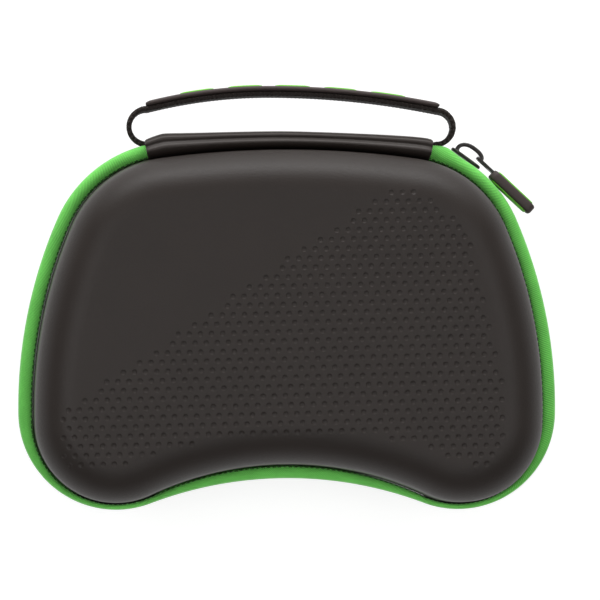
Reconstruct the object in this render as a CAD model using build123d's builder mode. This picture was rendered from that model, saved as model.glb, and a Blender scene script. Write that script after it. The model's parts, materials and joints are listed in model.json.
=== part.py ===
"""A hard-shell carrying case for a game controller, lying on its back.

Millimetres, +Z up. The origin is on the flat back face, at the middle of the case's width.
+X is to the right and +Y towards the hinge and the handle, as seen from the front.
"""

import os
from math import asin, atan2, cos, degrees, hypot, radians, sin, sqrt, tan

from build123d import *

# The case's plan: tangent arcs round the zipper band's outer edge
case_width = 190.0
lobe_bottom_y = -66.85
band_top_y = 65.9
top_r = 334.0
corner_x = 39.6
corner_r = 45.4
side_r = 167.0
lobe_r = 34.5
waist_r = 137.0

# The two shells, moulded foam board with a skin on both sides
shell_depth = 37.0
shell_inset = 4.3
shell_top_inset = 6.5
wall = 3.0
draft = 4.0
edge_r = 15.0
rim_gap = 0.15
flange_z = 2.6
flange_t = 2.4
flange_inset = 1.2
flange_end_y = 33.0

# The zipper: tape halves that wrap the flanges, and their coils
tape_t = 1.0
tape_top_z = 6.05
tape_leg_z = 2.45
tape_r = 2.3
tape_seat = 0.1
coil_inset = 0.3
coil_t = 1.6
coil_top_z = 2.4
coil_gap = 0.15
coil_end_gap = 0.9
split_y = 36.0
split_gap = 0.3
end_tape_inset = 4.5
tape_end_x = 51.8
stop_length = 3.0
swing_room = 6.9

# The hinge, its cover and its lining
hinge_y = 66.8
spine_left_x = -50.6
spine_right_x = 51.4
spine_end_y = 64.7
spine_mid_y = 67.1
spine_half_z = 14.0
spine_t = 1.3
spine_edge_r = 6.0
lining_t = 0.8
lining_half_z = 9.0
lining_margin = 2.5
shell_back_y = 45.0

# The handle: webbing, the grip moulded over it and the grip's raised bars
webbing_t = 1.9
webbing_half = 8.0
webbing_root_half = 4.0
taper_low_y = 63.4
taper_high_y = 70.6
apex_x = -6.0
apex_y = 80.2
arch_left_r = 175.0
arch_right_r = 300.0
grip_left_x = -49.6
grip_right_x = 53.2
loop_left_x = -56.0
loop_right_x = 58.8
loop_mid_y = 68.7
root_left_x = -50.8
root_right_x = 52.8
root_y = 62.4
root_run = 4.5
root_drop = 1.0
grip_t = 1.6
grip_seat = 0.05
grip_half = 10.0
bar_t = 0.8
bar_half = 4.5
bar_length = 12.5
bar_pitch = 17.0
bar_count = 5
bar_mid_x = 1.8

# The slider, on the upper right corner's arc, and the puller on it
slider_angle = 59.0
slider_half = 6.1
slider_nose_half = 4.3
slider_tail_half = 3.6
plate_gap = 0.35
plate_t = 0.8
inner_plate_gap = 2.9
inner_plate_t = 1.1
lip_t = 0.8
lip_rise = 1.2
post_half = 0.6
post_from = -5.5
post_to = -2.5
bridge_half = 1.1
bridge_t = 1.0
pivot_along = 4.9
pivot_out = 3.0
bridge_foot = -4.2
bridge_top = 5.6
bridge_tip = 0.7
puller_angle = -43.0
link_t = 1.0
link_half = 2.6
link_eye_half = 1.6
link_eye_back = 0.9
link_eye_front = 3.4
link_bar = 0.8
link_length = 8.5
grip_from = 6.0
grip_to = 25.5
puller_t = 3.5
puller_half = 4.5
puller_face_t = 0.6
puller_face_half = 3.6
puller_face_margin = 1.6
fit = 0.1

# Inside: the bindings over the raw rims, and the lid's net pocket
binding_t = 0.9
binding_h = 8.0
binding_z = 0.6
net_z = 15.0
net_t = 0.8
net_top_y = 8.0
hem_w = 8.0
hem_t = 2.0
hem_rise = 0.6
pocket_binding_h = 5.5

# Worked out from the sizes above
far = 300.0
parting_z = shell_depth
lobe_x = case_width / 2 - lobe_r
lobe_y = lobe_bottom_y + lobe_r
top_centre = (0.0, band_top_y - top_r)
corner_centre = (corner_x, top_centre[1] + sqrt((top_r - corner_r) ** 2 - corner_x**2))
waist_centre = (0.0, lobe_y - sqrt((waist_r + lobe_r) ** 2 - lobe_x**2))
parting = Plane.XY.offset(parting_z)
slope = tan(radians(draft))


def side_centre(inset, top_inset):
    """Centre of the side arc, which touches the corner's and the lobe's arcs from outside."""
    reach_corner = side_r - inset - (corner_r - top_inset)
    reach_lobe = side_r - lobe_r
    dx = lobe_x - corner_centre[0]
    dy = lobe_y - corner_centre[1]
    apart = hypot(dx, dy)
    along = (reach_corner**2 - reach_lobe**2 + apart**2) / (2 * apart)
    aside = sqrt(reach_corner**2 - along**2)
    x = corner_centre[0] + (dx * along + dy * aside) / apart
    y = corner_centre[1] + (dy * along - dx * aside) / apart
    return (x, y)


def bearing(start, end):
    """Angle of the line from one point to another, in degrees."""
    return degrees(atan2(end[1] - start[1], end[0] - start[0]))


def plan(inset=0.0, top_inset=None):
    """The case's plan, drawn in by one inset at the sides and another at the top corners."""
    if top_inset is None:
        top_inset = inset
    side = side_centre(inset, top_inset)
    lobe = (lobe_x, lobe_y)
    to_corner = bearing(top_centre, corner_centre)
    to_side = bearing(side, corner_centre)
    to_lobe = bearing(side, lobe)
    to_waist = bearing(waist_centre, lobe)
    with BuildSketch(mode=Mode.PRIVATE) as outline:
        with BuildLine():
            CenterArc(corner_centre, corner_r - top_inset, to_side, to_corner - to_side)
            CenterArc(side, side_r - inset, to_lobe, to_side - to_lobe)
            CenterArc(lobe, lobe_r - inset, to_waist - 180, to_lobe - to_waist + 180)
            mirror(about=Plane.YZ)
            CenterArc(top_centre, top_r - top_inset, to_corner, 180 - 2 * to_corner)
            CenterArc(waist_centre, waist_r + inset, to_waist, 180 - 2 * to_waist)
        make_face()
    return outline.sketch


def blank(inset, top_inset, depth, radius):
    """A solid of the lid's outer or inner form: the plan drawn up with draft, its edge rounded."""
    with BuildPart(mode=Mode.PRIVATE) as solid:
        with BuildSketch(parting):
            add(plan(inset, top_inset))
        extrude(amount=depth, taper=draft)
        fillet(solid.faces().sort_by(Axis.Z)[-1].edges(), radius)
    return solid.part


def ring(outer, inner, low, high):
    """A ring between two plans, from one height over the parting plane to another."""
    with BuildPart(mode=Mode.PRIVATE) as band:
        with BuildSketch(parting.offset(low)):
            add(plan(*outer))
            add(plan(*inner), mode=Mode.SUBTRACT)
        extrude(amount=high - low)
    return band.part


def below(y):
    """A block that holds everything on the handle's far side of a line across the case."""
    return Pos(0, y - far / 2, parting_z) * Box(far, far, far)


def beside(x, y):
    """Two blocks that hold the corners above y, each from x outwards."""
    block = Box(far, far, far)
    right = Pos(x + far / 2, y + far / 2, parting_z) * block
    left = Pos(-x - far / 2, y + far / 2, parting_z) * block
    return right + left


def swing_cylinder():
    """The space round the hinge line that the handle's roots turn in."""
    return Pos(0, hinge_y, parting_z) * Rot(0, 90, 0) * Cylinder(swing_room, far)


def finish(piece, label):
    """Names a finished piece and writes its file."""
    piece.part.label = label
    export_step(piece.part, f"parts/{label}.step")


os.makedirs("parts", exist_ok=True)

# Plans used more than once: the shell's outside and inside, and the inner wall at a height
shell_plan = (shell_inset, shell_top_inset)
cavity_plan = (shell_inset + wall, shell_top_inset + wall)


def inner_plan(height, gap=0.0):
    """The plan of the inner wall at a height over the rim, drawn in by a gap."""
    drawn_in = height * slope + gap
    return (cavity_plan[0] + drawn_in, cavity_plan[1] + drawn_in)


# Lid shell: a hollow drafted box on the case's plan, and a flange for the zipper tape
outer_blank = blank(*shell_plan, shell_depth, edge_r)
inner_blank = blank(*cavity_plan, shell_depth - wall, edge_r - wall)
flange = ring(
    (flange_inset, flange_inset),
    (shell_inset + wall / 2, shell_top_inset + wall / 2),
    flange_z,
    flange_z + flange_t,
)
with BuildPart() as flange_blank:
    add(flange)
    fillet(flange_blank.faces().sort_by(Axis.Z)[-1].outer_wire().edges(), tape_r - tape_t)
flange_zone = below(flange_end_y)
with BuildPart() as plain_shell:
    add(outer_blank)
    add(flange_blank.part & flange_zone)
    add(inner_blank, mode=Mode.SUBTRACT)
    with Locations((0, 0, parting_z)):
        Box(far, far, 2 * rim_gap, mode=Mode.SUBTRACT)
with BuildPart() as lid_shell:
    add(plain_shell.part)
finish(lid_shell, "lid_shell")

# Base shell: the lid's mirror image, with a plain face that the case lies on
with BuildPart() as base_shell:
    mirror(plain_shell.part, about=parting)
finish(base_shell, "base_shell")

# Zipper tape: a leg beside the coil, a rounded edge and a roof over the flange
band_plan = (0.0, 0.0)
tape_shape = ring(
    band_plan,
    (shell_inset - tape_seat, shell_top_inset - tape_seat),
    tape_leg_z,
    tape_top_z,
)
with BuildPart() as tape_blank:
    add(tape_shape)
    fillet(tape_blank.faces().sort_by(Axis.Z)[-1].outer_wire().edges(), tape_r)
tape_room = ring(
    (tape_t, tape_t),
    (shell_inset + wall, shell_top_inset + wall),
    tape_leg_z - 1,
    tape_top_z - tape_t,
)
with BuildPart() as tape_room_blank:
    add(tape_room)
    fillet(
        tape_room_blank.faces().sort_by(Axis.Z)[-1].outer_wire().edges(), tape_r - tape_t
    )
# Its two ends stay with the base beside the hinge, clear of the lid's wall as it swings
inside_plan = (lobe_r - shell_inset, lobe_r - shell_inset)
main_zone = below(split_y - split_gap)
below_split = below(split_y)
end_zone = beside(tape_end_x, split_y)
cylinder = swing_cylinder()
end_room = ring((end_tape_inset, end_tape_inset), inside_plan, 0, tape_top_z + 1)
tape = tape_blank.part - tape_room_blank.part
tape_ends = ((tape - end_room) & end_zone) - cylinder
with BuildPart() as lid_tape:
    add(tape & main_zone)
finish(lid_tape, "lid_tape")


def one_side(piece, sign):
    """The solids of a piece that lie on one side of the case's middle."""
    return [solid for solid in piece.solids() if solid.center().X * sign > 0]


for side_name, sign in (("right", 1), ("left", -1)):
    with BuildPart() as lid_tape_end:
        add(one_side(tape_ends, sign))
    finish(lid_tape_end, f"lid_tape_end_{side_name}")
with BuildPart() as base_tape:
    mirror((tape & below_split) + tape_ends, about=parting)
finish(base_tape, "base_tape")

# Coils: plain strips here, closed along the lid and parted beside the slider's travel
coil_outer = (coil_inset, coil_inset)
coil_inner = (coil_inset + coil_t, coil_inset + coil_t)
coil_zone = beside(tape_end_x + stop_length, split_y)
coil_main = ring(coil_outer, coil_inner, coil_gap, coil_top_z) & main_zone
coil_ends = (ring(coil_outer, coil_inner, coil_end_gap, coil_top_z) & coil_zone) - cylinder
with BuildPart() as lid_coil:
    add(coil_main)
finish(lid_coil, "lid_coil")
for side_name, sign in (("right", 1), ("left", -1)):
    with BuildPart() as lid_coil_end:
        add(one_side(coil_ends, sign))
    finish(lid_coil_end, f"lid_coil_end_{side_name}")
with BuildPart() as base_coil:
    mirror(coil_main, about=parting)
    mirror(coil_ends, about=parting)
finish(base_coil, "base_coil")

# Stops: a moulded block over both coils at each end of the zipper
stop_ring = ring((coil_inset, coil_inset), coil_inner, -coil_top_z, coil_top_z)
stop_zone = beside(tape_end_x, split_y) - beside(tape_end_x + stop_length - fit, split_y - 1)
stops = (stop_ring & stop_zone) - cylinder
with BuildPart() as zipper_stops:
    add(stops)
finish(zipper_stops, "zipper_stops")

# Hinge cover: a channel of padded skin from the lid's back wall round to the base's
with BuildSketch(mode=Mode.PRIVATE) as spine_plan:
    with BuildLine():
        top_arc = ThreePointArc(
            (spine_left_x, spine_end_y), (0, spine_mid_y), (spine_right_x, spine_end_y)
        )
        Line(top_arc @ 1, (spine_right_x, 0))
        Line((spine_right_x, 0), (spine_left_x, 0))
        Line((spine_left_x, 0), top_arc @ 0)
    make_face()
spine_clear = (shell_top_inset - tape_seat, shell_top_inset - tape_seat)
with BuildPart() as spine_outer:
    with BuildSketch(parting.offset(-spine_half_z)):
        add(spine_plan.sketch)
    extrude(amount=2 * spine_half_z)
    back = spine_outer.edges().filter_by(GeomType.CIRCLE)
    fillet(back, spine_edge_r)
with BuildPart() as spine_room:
    with BuildSketch(parting.offset(spine_t - spine_half_z)):
        add(spine_plan.sketch)
    extrude(amount=2 * (spine_half_z - spine_t))
    fillet(spine_room.edges().filter_by(GeomType.CIRCLE), spine_edge_r - spine_t)
shells_space = ring(spine_clear, inside_plan, -far / 10, far / 10)
front_block = below(shell_back_y)
spine_void = Pos(0, -spine_t, 0) * spine_room.part
with BuildPart() as spine_cover:
    add(spine_outer.part)
    add(spine_void, mode=Mode.SUBTRACT)
    add(shells_space, mode=Mode.SUBTRACT)
    add(front_block, mode=Mode.SUBTRACT)
finish(spine_cover, "spine_cover")

# Hinge lining: a strip of cloth that joins the two rims on the inside
lining_zone = below(far / 2) & (Pos(0, far / 2, parting_z) * Box(
    spine_right_x - spine_left_x - 2 * lining_margin, far, far
))
lining_ring = ring(
    inner_plan(lining_half_z, fit),
    inner_plan(lining_half_z, fit + lining_t),
    -lining_half_z,
    lining_half_z,
)
with BuildPart() as hinge_lining:
    add(lining_ring & lining_zone)
finish(hinge_lining, "hinge_lining")

# Bindings: tape sewn over the raw seam inside each rim, open at the hinge
binding_zone = below(0) + beside((spine_right_x - spine_left_x) / 2 - lining_margin + 1, 0)
binding = ring(
    inner_plan(binding_h, fit),
    inner_plan(binding_h, fit + binding_t),
    binding_z,
    binding_z + binding_h,
)
binding = binding & binding_zone
with BuildPart() as lid_binding:
    add(binding)
finish(lid_binding, "lid_binding")
with BuildPart() as base_binding:
    mirror(binding, about=parting)
finish(base_binding, "base_binding")

# Net pocket in the lid: the net, the binding that holds its edge and the elastic along its top
pocket_top_z = net_z + net_t + pocket_binding_h
net_zone = below(net_top_y)
with BuildPart() as mesh_pocket:
    with BuildSketch(parting.offset(net_z)):
        add(plan(*inner_plan(pocket_top_z, fit)))
    extrude(amount=net_t)
    add(net_zone, mode=Mode.INTERSECT)
finish(mesh_pocket, "mesh_pocket")
pocket_ring = ring(
    inner_plan(pocket_top_z, fit),
    inner_plan(pocket_top_z, fit + binding_t),
    net_z + net_t,
    pocket_top_z,
)
with BuildPart() as pocket_binding:
    add(pocket_ring & net_zone)
finish(pocket_binding, "pocket_binding")
hem_zone = below(net_top_y + hem_w) - below(net_top_y)
with BuildPart() as pocket_hem:
    with BuildSketch(parting.offset(net_z - hem_rise)):
        add(plan(*inner_plan(pocket_top_z, fit)))
    extrude(amount=hem_t)
    add(hem_zone, mode=Mode.INTERSECT)
finish(pocket_hem, "pocket_hem")

# Handle: one length of webbing, arched over the case, its ends tucked under the hinge cover
left_turn = degrees(asin((apex_x - grip_left_x) / arch_left_r))
right_turn = degrees(asin((grip_right_x - apex_x) / arch_right_r))
left_centre = (apex_x, apex_y - arch_left_r)
right_centre = (apex_x, apex_y - arch_right_r)


def arch(out):
    """The handle's arch, as two arcs that meet at its top, moved outwards."""
    with BuildSketch(mode=Mode.PRIVATE) as band:
        with BuildLine():
            CenterArc(left_centre, arch_left_r + out, 90, left_turn)
            CenterArc(right_centre, arch_right_r + out, 90 - right_turn, right_turn)
        trace(line_width=arch_width[out])
    return band.sketch


webbing_top = webbing_t / 2 + grip_seat
arch_width = {
    webbing_top + grip_t / 2: grip_t,
    webbing_top + grip_t + bar_t / 2: bar_t,
}
with BuildSketch(mode=Mode.PRIVATE) as webbing_plan:
    with BuildLine():
        left_arch = CenterArc(left_centre, arch_left_r, 90, left_turn)
        right_arch = CenterArc(right_centre, arch_right_r, 90 - right_turn, right_turn)
        ThreePointArc(left_arch @ 1, (loop_left_x, loop_mid_y), (root_left_x, root_y))
        ThreePointArc(right_arch @ 0, (loop_right_x, loop_mid_y), (root_right_x, root_y))
        Line((root_left_x, root_y), (root_left_x + root_run, root_y - root_drop))
        Line((root_right_x, root_y), (root_right_x - root_run, root_y - root_drop))
    trace(line_width=webbing_t)
with BuildSketch(mode=Mode.PRIVATE) as webbing_side:
    with BuildLine():
        Polyline(
            (0, webbing_root_half),
            (taper_low_y, webbing_root_half),
            (taper_high_y, webbing_half),
            (far, webbing_half),
            (far, -webbing_half),
            (taper_high_y, -webbing_half),
            (taper_low_y, -webbing_root_half),
            (0, -webbing_root_half),
            close=True,
        )
    make_face()
side_plane = Plane(origin=(0, 0, parting_z), x_dir=(0, 1, 0), z_dir=(1, 0, 0))
with BuildPart() as webbing_taper:
    with BuildSketch(side_plane):
        add(webbing_side.sketch)
    extrude(amount=far / 2, both=True)
with BuildPart() as handle_webbing:
    with BuildSketch(parting):
        add(webbing_plan.sketch)
    extrude(amount=webbing_half, both=True)
    add(webbing_taper.part, mode=Mode.INTERSECT)
finish(handle_webbing, "handle_webbing")
with BuildPart() as handle_grip:
    with BuildSketch(parting):
        add(arch(webbing_top + grip_t / 2))
    extrude(amount=grip_half, both=True)
finish(handle_grip, "handle_grip")
with BuildPart() as bar_blocks:
    with Locations((bar_mid_x, apex_y, parting_z)):
        with GridLocations(bar_pitch, 1, bar_count, 1):
            Box(bar_length, apex_y, far)
with BuildPart() as handle_bars:
    with BuildSketch(parting):
        add(arch(webbing_top + grip_t + bar_t / 2))
    extrude(amount=bar_half, both=True)
    add(bar_blocks.part, mode=Mode.INTERSECT)
finish(handle_bars, "handle_bars")

# Slider: two plates joined by a post between the coils, and a bridge open at its far end
out = Vector(cos(radians(slider_angle)), sin(radians(slider_angle)), 0)
along = Vector(out.Y, -out.X, 0)
corner_point = Vector(corner_centre[0], corner_centre[1], parting_z)
slider_plane = Plane(origin=corner_point + out * corner_r, x_dir=along, z_dir=(0, 0, 1))
top_plane = Plane(origin=slider_plane.origin, x_dir=along, z_dir=out)
with BuildSketch(mode=Mode.PRIVATE) as plate_plan:
    with BuildLine():
        Polyline(
            (-slider_half, -slider_nose_half),
            (-slider_half, slider_nose_half),
            (0, slider_nose_half),
            (slider_half, slider_tail_half),
            (slider_half, -slider_tail_half),
            (0, -slider_nose_half),
            close=True,
        )
    make_face()
    fillet(plate_plan.vertices(), lip_t)
lip_inside = offset(plate_plan.sketch, amount=-lip_t)
with BuildSketch(mode=Mode.PRIVATE) as bridge_side:
    with BuildLine():
        FilletPolyline(
            (bridge_foot, plate_gap + plate_t / 2),
            (bridge_foot + bridge_t, bridge_top),
            (bridge_foot + slider_half, bridge_top + bridge_t / 2),
            (pivot_along, bridge_top - bridge_t),
            (pivot_along, pivot_out - bridge_tip),
            radius=bridge_t,
        )
    trace(line_width=bridge_t)
inner_top = -inner_plate_gap
inner_low = inner_top - inner_plate_t
with BuildPart() as slider_body:
    with BuildSketch(top_plane.offset(plate_gap)):
        add(plate_plan.sketch)
    extrude(amount=plate_t)
    with BuildSketch(top_plane.offset(inner_low)):
        add(plate_plan.sketch)
    extrude(amount=inner_plate_t)
    with BuildSketch(top_plane.offset(inner_top)):
        add(plate_plan.sketch)
        add(lip_inside, mode=Mode.SUBTRACT)
        Rectangle(3 * slider_half, 2 * (slider_tail_half - lip_t), mode=Mode.SUBTRACT)
    extrude(amount=lip_rise)
    with BuildSketch(slider_plane):
        with Locations(((post_from + post_to) / 2, (inner_top + plate_gap) / 2)):
            Rectangle(post_to - post_from, plate_gap - inner_top)
    extrude(amount=post_half, both=True)
    with BuildSketch(slider_plane):
        add(bridge_side.sketch)
    extrude(amount=bridge_half, both=True)
finish(slider_body, "slider_body")

# Puller: a flat link through the bridge, and a rubber grip with a coloured face on each side
pivot = slider_plane.from_local_coords(Vector(pivot_along, pivot_out, 0))
reach = Vector(cos(radians(puller_angle)), sin(radians(puller_angle)), 0)
puller_side = Plane(origin=pivot, x_dir=reach, z_dir=(0, 0, 1))
puller_flat = Plane(origin=pivot, x_dir=reach, z_dir=puller_side.y_dir)
link_back = link_eye_back + link_bar
with BuildPart() as puller_link:
    with BuildSketch(puller_flat):
        with Locations(((link_length - link_back) / 2, 0)):
            RectangleRounded(link_length + link_back, 2 * link_half, link_bar)
        with Locations(((link_eye_front - link_eye_back) / 2, 0)):
            Rectangle(link_eye_front + link_eye_back, 2 * link_eye_half, mode=Mode.SUBTRACT)
    extrude(amount=link_t / 2, both=True)
finish(puller_link, "puller_link")
grip_mid = (grip_from + grip_to) / 2
with BuildPart() as puller_grip:
    with BuildSketch(puller_flat):
        with Locations((grip_mid, 0)):
            RectangleRounded(grip_to - grip_from, 2 * puller_half, puller_half / 2)
    extrude(amount=puller_t / 2, both=True)
    with BuildSketch(puller_flat):
        with Locations((link_length / 2, 0)):
            Rectangle(link_length + 2 * fit, 2 * (link_half + fit))
    extrude(amount=link_t / 2 + fit, both=True, mode=Mode.SUBTRACT)
finish(puller_grip, "puller_grip")
for face_name, face_side in (("outer", 1), ("inner", -1)):
    face_low = puller_flat.offset(face_side * (puller_t + puller_face_t) / 2)
    with BuildPart() as puller_face:
        with BuildSketch(face_low):
            with Locations((grip_mid, 0)):
                RectangleRounded(
                    grip_to - grip_from - 2 * puller_face_margin,
                    2 * puller_face_half,
                    puller_face_half / 2,
                )
        extrude(amount=puller_face_t / 2, both=True)
    finish(puller_face, f"puller_face_{face_name}")
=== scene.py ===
"""Finishes for a hard-shell controller case: skins, zipper, handle, puller and the inside."""

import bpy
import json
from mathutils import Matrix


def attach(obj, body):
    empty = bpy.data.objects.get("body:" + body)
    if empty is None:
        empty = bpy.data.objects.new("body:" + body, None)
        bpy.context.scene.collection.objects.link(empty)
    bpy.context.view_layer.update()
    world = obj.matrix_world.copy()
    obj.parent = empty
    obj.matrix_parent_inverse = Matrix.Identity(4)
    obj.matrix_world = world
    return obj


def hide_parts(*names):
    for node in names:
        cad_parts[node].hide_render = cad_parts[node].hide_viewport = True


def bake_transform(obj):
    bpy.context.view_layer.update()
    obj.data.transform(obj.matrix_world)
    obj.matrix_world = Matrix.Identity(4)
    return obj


bl_info = {
    "name": "Controller case finishes",
    "version": (1, 0, 0),
    "blender": (4, 5, 0),
    "location": "View3D > Sidebar > Case",
    "description": "Builds the skins, zipper, handle and lining of a hard-shell carrying case",
    "category": "Add Mesh",
}

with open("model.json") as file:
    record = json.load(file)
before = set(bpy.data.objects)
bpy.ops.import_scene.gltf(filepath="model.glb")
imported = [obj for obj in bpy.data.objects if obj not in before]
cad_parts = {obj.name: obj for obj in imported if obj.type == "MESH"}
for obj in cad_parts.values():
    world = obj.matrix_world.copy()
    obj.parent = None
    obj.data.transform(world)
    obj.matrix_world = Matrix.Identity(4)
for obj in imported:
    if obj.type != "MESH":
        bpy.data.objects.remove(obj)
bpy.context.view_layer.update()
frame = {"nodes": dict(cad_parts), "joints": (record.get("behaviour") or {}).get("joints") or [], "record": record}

import json
from math import asin, atan2, cos, hypot, pi, radians, sin, sqrt, tan

import bmesh
import bpy
import numpy as np
from bpy.props import FloatProperty, FloatVectorProperty, PointerProperty
from mathutils import Vector
from mathutils.geometry import delaunay_2d_cdt

MM = 0.001
JOINTS = {joint["name"]: joint for joint in frame["joints"]}
SEAM_Z = JOINTS["lid_hinge"]["pos_m"][2] / MM

# The case's plan, as tangent arcs, in millimetres
CASE_WIDTH = 190.0
LOBE_BOTTOM_Y = -66.85
BAND_TOP_Y = 65.9
TOP_R = 334.0
CORNER_X = 39.6
CORNER_R = 45.4
SIDE_R = 167.0
LOBE_R = 34.5
WAIST_R = 137.0
ARC_STEPS = {"top": 48, "corner": 60, "side": 56, "lobe": 96, "waist": 50}

# The shells
SHELL_DEPTH = 37.0
BAND = np.array([3.6, 4.8, 4.9, 4.3, 3.0])
DRAWN_IN = np.array([1.0, 1.0, 1.0, 1.0, 0.0])
WALL = 3.0
DRAFT = radians(4.0)
EDGE_R = 15.0
RIM_GAP = 0.15
CROWN = 0.5
SKIN_T = 1.6
WALL_STEPS = 7
ROUND_STEPS = 15
CAP_ROW = 7
CAP_STEP = 5.0
CROWN_REACH = 40.0
# Points of a piece nearer than this are merged
MERGE = 0.01

# The dimples: a tilted, staggered grid under a slanting line and inside an outline
DIMPLE_PITCH_X = 3.84
DIMPLE_PITCH_Y = 3.15
DIMPLE_LEFT_X = -83.2
DIMPLE_RIGHT_X = 80.0
DIMPLE_LOW_Y = -51.0
DIMPLE_HIGH_Y = 50.0
DIMPLE_TILT = radians(1.4)
DIMPLE_DEPTH = 0.32
SLANT_LOW = (-35.6, -1.9)
SLANT_RISE = 0.68
DIMPLE_MARGIN = 1.6
DIMPLE_FIELD = np.array([
    (-80.3, -27.3), (-80.3, -38.3), (-78.9, -50.4), (-70.6, -51.4), (-59.9, -51.1), (-48.2, -46.9),
    (-42.0, -44.2), (-29.2, -41.4), (-13.7, -39.7), (13.9, -39.0), (31.1, -40.0), (41.8, -42.5),
    (53.2, -46.2), (63.5, -50.4), (71.1, -48.7), (74.5, -37.6), (74.2, -27.3), (67.0, 7.2),
    (63.5, 24.1), (61.4, 27.9), (59.4, 31.7), (55.2, 36.5), (52.1, 39.3), (47.6, 42.0),
    (45.6, 45.8), (31.1, 47.2),
])
DIMPLE_POINTS = 12
DIMPLE_RINGS = ((1.18, 0.0), (1.0, 0.04), (0.86, 0.3), (0.66, 0.68), (0.36, 0.94))
# How near a dimple's rim the face's points may come, and the share of its radius that stays open
DIMPLE_CLEAR = 0.35
DIMPLE_HOLE = 1.05

# The zipper
TAPE_START_X = 49.5
TOOTH_PITCH = 1.5
STITCH_PITCH = 1.9
STITCH_SHARE = 0.94
STITCH_Z = 5.2
# The tape's woven ribs, where on it they show, and the share of their height elsewhere
TWILL_PITCH = 0.8
TWILL_SLANT = 1.1
RIB_FROM_Z = 5.2
RIB_TO_SHARE = 0.15
RIB_HIDDEN = 0.15
# How far the tapes bulge behind the slider, and where
PARTED = 1.2
PARTED_AT = 56.2
PARTED_REACH = 4.5
# The tape's section, as (share of the band's width, height over the seam)
TAPE_OUTSIDE = [
    (0.02, 2.4), (0.0, 3.0), (0.0, 3.9), (0.06, 5.0), (0.2, 5.75), (0.42, 6.1), (0.66, 6.0), (0.86, 5.55),
    (1.0, 4.8),
]
TAPE_INSIDE = [
    (0.96, 4.2), (0.8, 4.6), (0.62, 5.0), (0.42, 5.1), (0.3, 4.8), (0.22, 4.2), (0.21, 3.2), (0.2, 2.4),
]
TAPE_LIFT = 0.07
TAPE_STEP = 0.19
# A stitch's half sizes (its length is a share of the pitch), and how far it leans in
STITCH_SIZE = (0.36, 0.2, 0.16)
STITCH_LEAN = 0.25
# A tooth's place and half sizes, and the cord inside the coil as (inset, height)
TOOTH_INSET = 1.15
TOOTH_Z = 1.25
TOOTH_SIZE = (0.85, 0.52, 1.05)
CORE_LOOP = [(1.5, 0.4), (2.2, 0.7), (2.2, 2.1), (1.5, 2.1)]
CORE_STEP = 2.0
# A small thread: its sides, the size of its end rings and how far out they lie
THREAD_SIDES = 6
THREAD_TAPER = 0.8
THREAD_SHOULDER = 0.75

# The hinge cover
COVER_LEFT_X = -50.6
COVER_RIGHT_X = 51.4
COVER_WAVE = 0.12
COVER_TAPER = 0.03
COVER_MID_Y = 67.1
# Its section over the seam, as (share from its back to the shell, height)
COVER_LINE = [
    (0.0, 0.0), (0.0, 5.5), (0.02, 9.0), (0.06, 11.0), (0.13, 12.2), (0.22, 12.6), (0.29, 12.4), (0.34, 12.1),
    (0.39, 12.3), (0.46, 13.0), (0.56, 13.4), (0.68, 12.9), (0.81, 11.2), (0.92, 8.4), (1.0, 5.0),
]
COVER_T = 1.2
COVER_BACK = [
    (-50.6, 63.25), (-50.3, 63.85), (-44.8, 65.85), (-43.0, 66.05), (-34.0, 66.15), (-20.0, 66.55),
    (-5.0, 66.85), (5.0, 66.75), (23.0, 66.15), (40.0, 65.35), (49.5, 64.55), (51.4, 63.75),
]
COVER_SINK = 0.3
COVER_STEPS = 90
# Its rounded ends, as (distance from the end, share of the thickness)
COVER_ENDS = ((0.0, 0.35), (0.25, 0.8))
COVER_PLAIN = 0.7
COVER_WAVE_X = (7.3, 17.0)
COVER_WAVE_Z = 9.0

# The handle
WEBBING_T = 1.9
WEBBING_HALF = 8.0
WEBBING_ROOT_HALF = 4.0
TAPER_LOW_Y = 63.4
TAPER_HIGH_Y = 70.6
APEX = (-6.0, 80.2)
ARCH_LEFT_R = 175.0
ARCH_RIGHT_R = 300.0
ARCH_STEPS = (60, 70)
LOOP_STEPS = 60
GRIP_LEFT_X = -49.6
GRIP_RIGHT_X = 53.2
GRIP_T = 1.6
GRIP_HALF = 10.0
GRIP_SINK = 0.1
LOOP_LEFT = (-56.0, 68.7)
LOOP_RIGHT = (58.8, 68.7)
ROOT_LEFT = (-50.8, 62.4)
ROOT_RIGHT = (52.8, 62.4)
ROOT_RUN = 4.5
ROOT_DROP = 1.0
EDGE_YARN = 1.8
LOOP_EASE = 5.0
LOOP_HALF = 5.5
LOOP_THIN = 0.92
# The woven relief: its rows and yarns, and how far they lift
WEAVE_ROW = 1.0
WEAVE_PITCH = 1.4
YARN_LIFT = 0.07
EDGE_LIFT = 0.22
EDGE_SWING = 0.25
EDGE_FROM = 0.9
STRAP_STEP = 0.34
PAD_STEP = 0.5

# The five raised bars on the grip
BAR_T = 0.8
BAR_HALF = 4.5
BAR_LENGTH = 12.5
BAR_PITCH = 17.0
BAR_COUNT = 5
BAR_MID_X = 1.8
BAR_SINK = 0.2

# The slider and its puller, in lengths along the zipper, out from it, and over the seam
SLIDER_ANGLE = radians(59.0)
SLIDER_HALF = 6.1
SLIDER_NOSE = 4.3
SLIDER_TAIL = 3.6
SLIDER_PLATE = (0.55, 1.5)
SLIDER_TILT = 0.08
SLIDER_INNER = (-4.0, -2.9)
SLIDER_LIP = (-3.0, -1.7)
SLIDER_POST = (-3.2, 0.6)
SLIDER_BEVEL = 0.3
# The lips: how far they stop short of the slider's ends, half their width, and their corners
LIP_ENDS = (0.6, 1.0)
LIP_HALF = 0.4
LIP_ROUND = 0.3
LIP_BEVEL = 0.2
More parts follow.
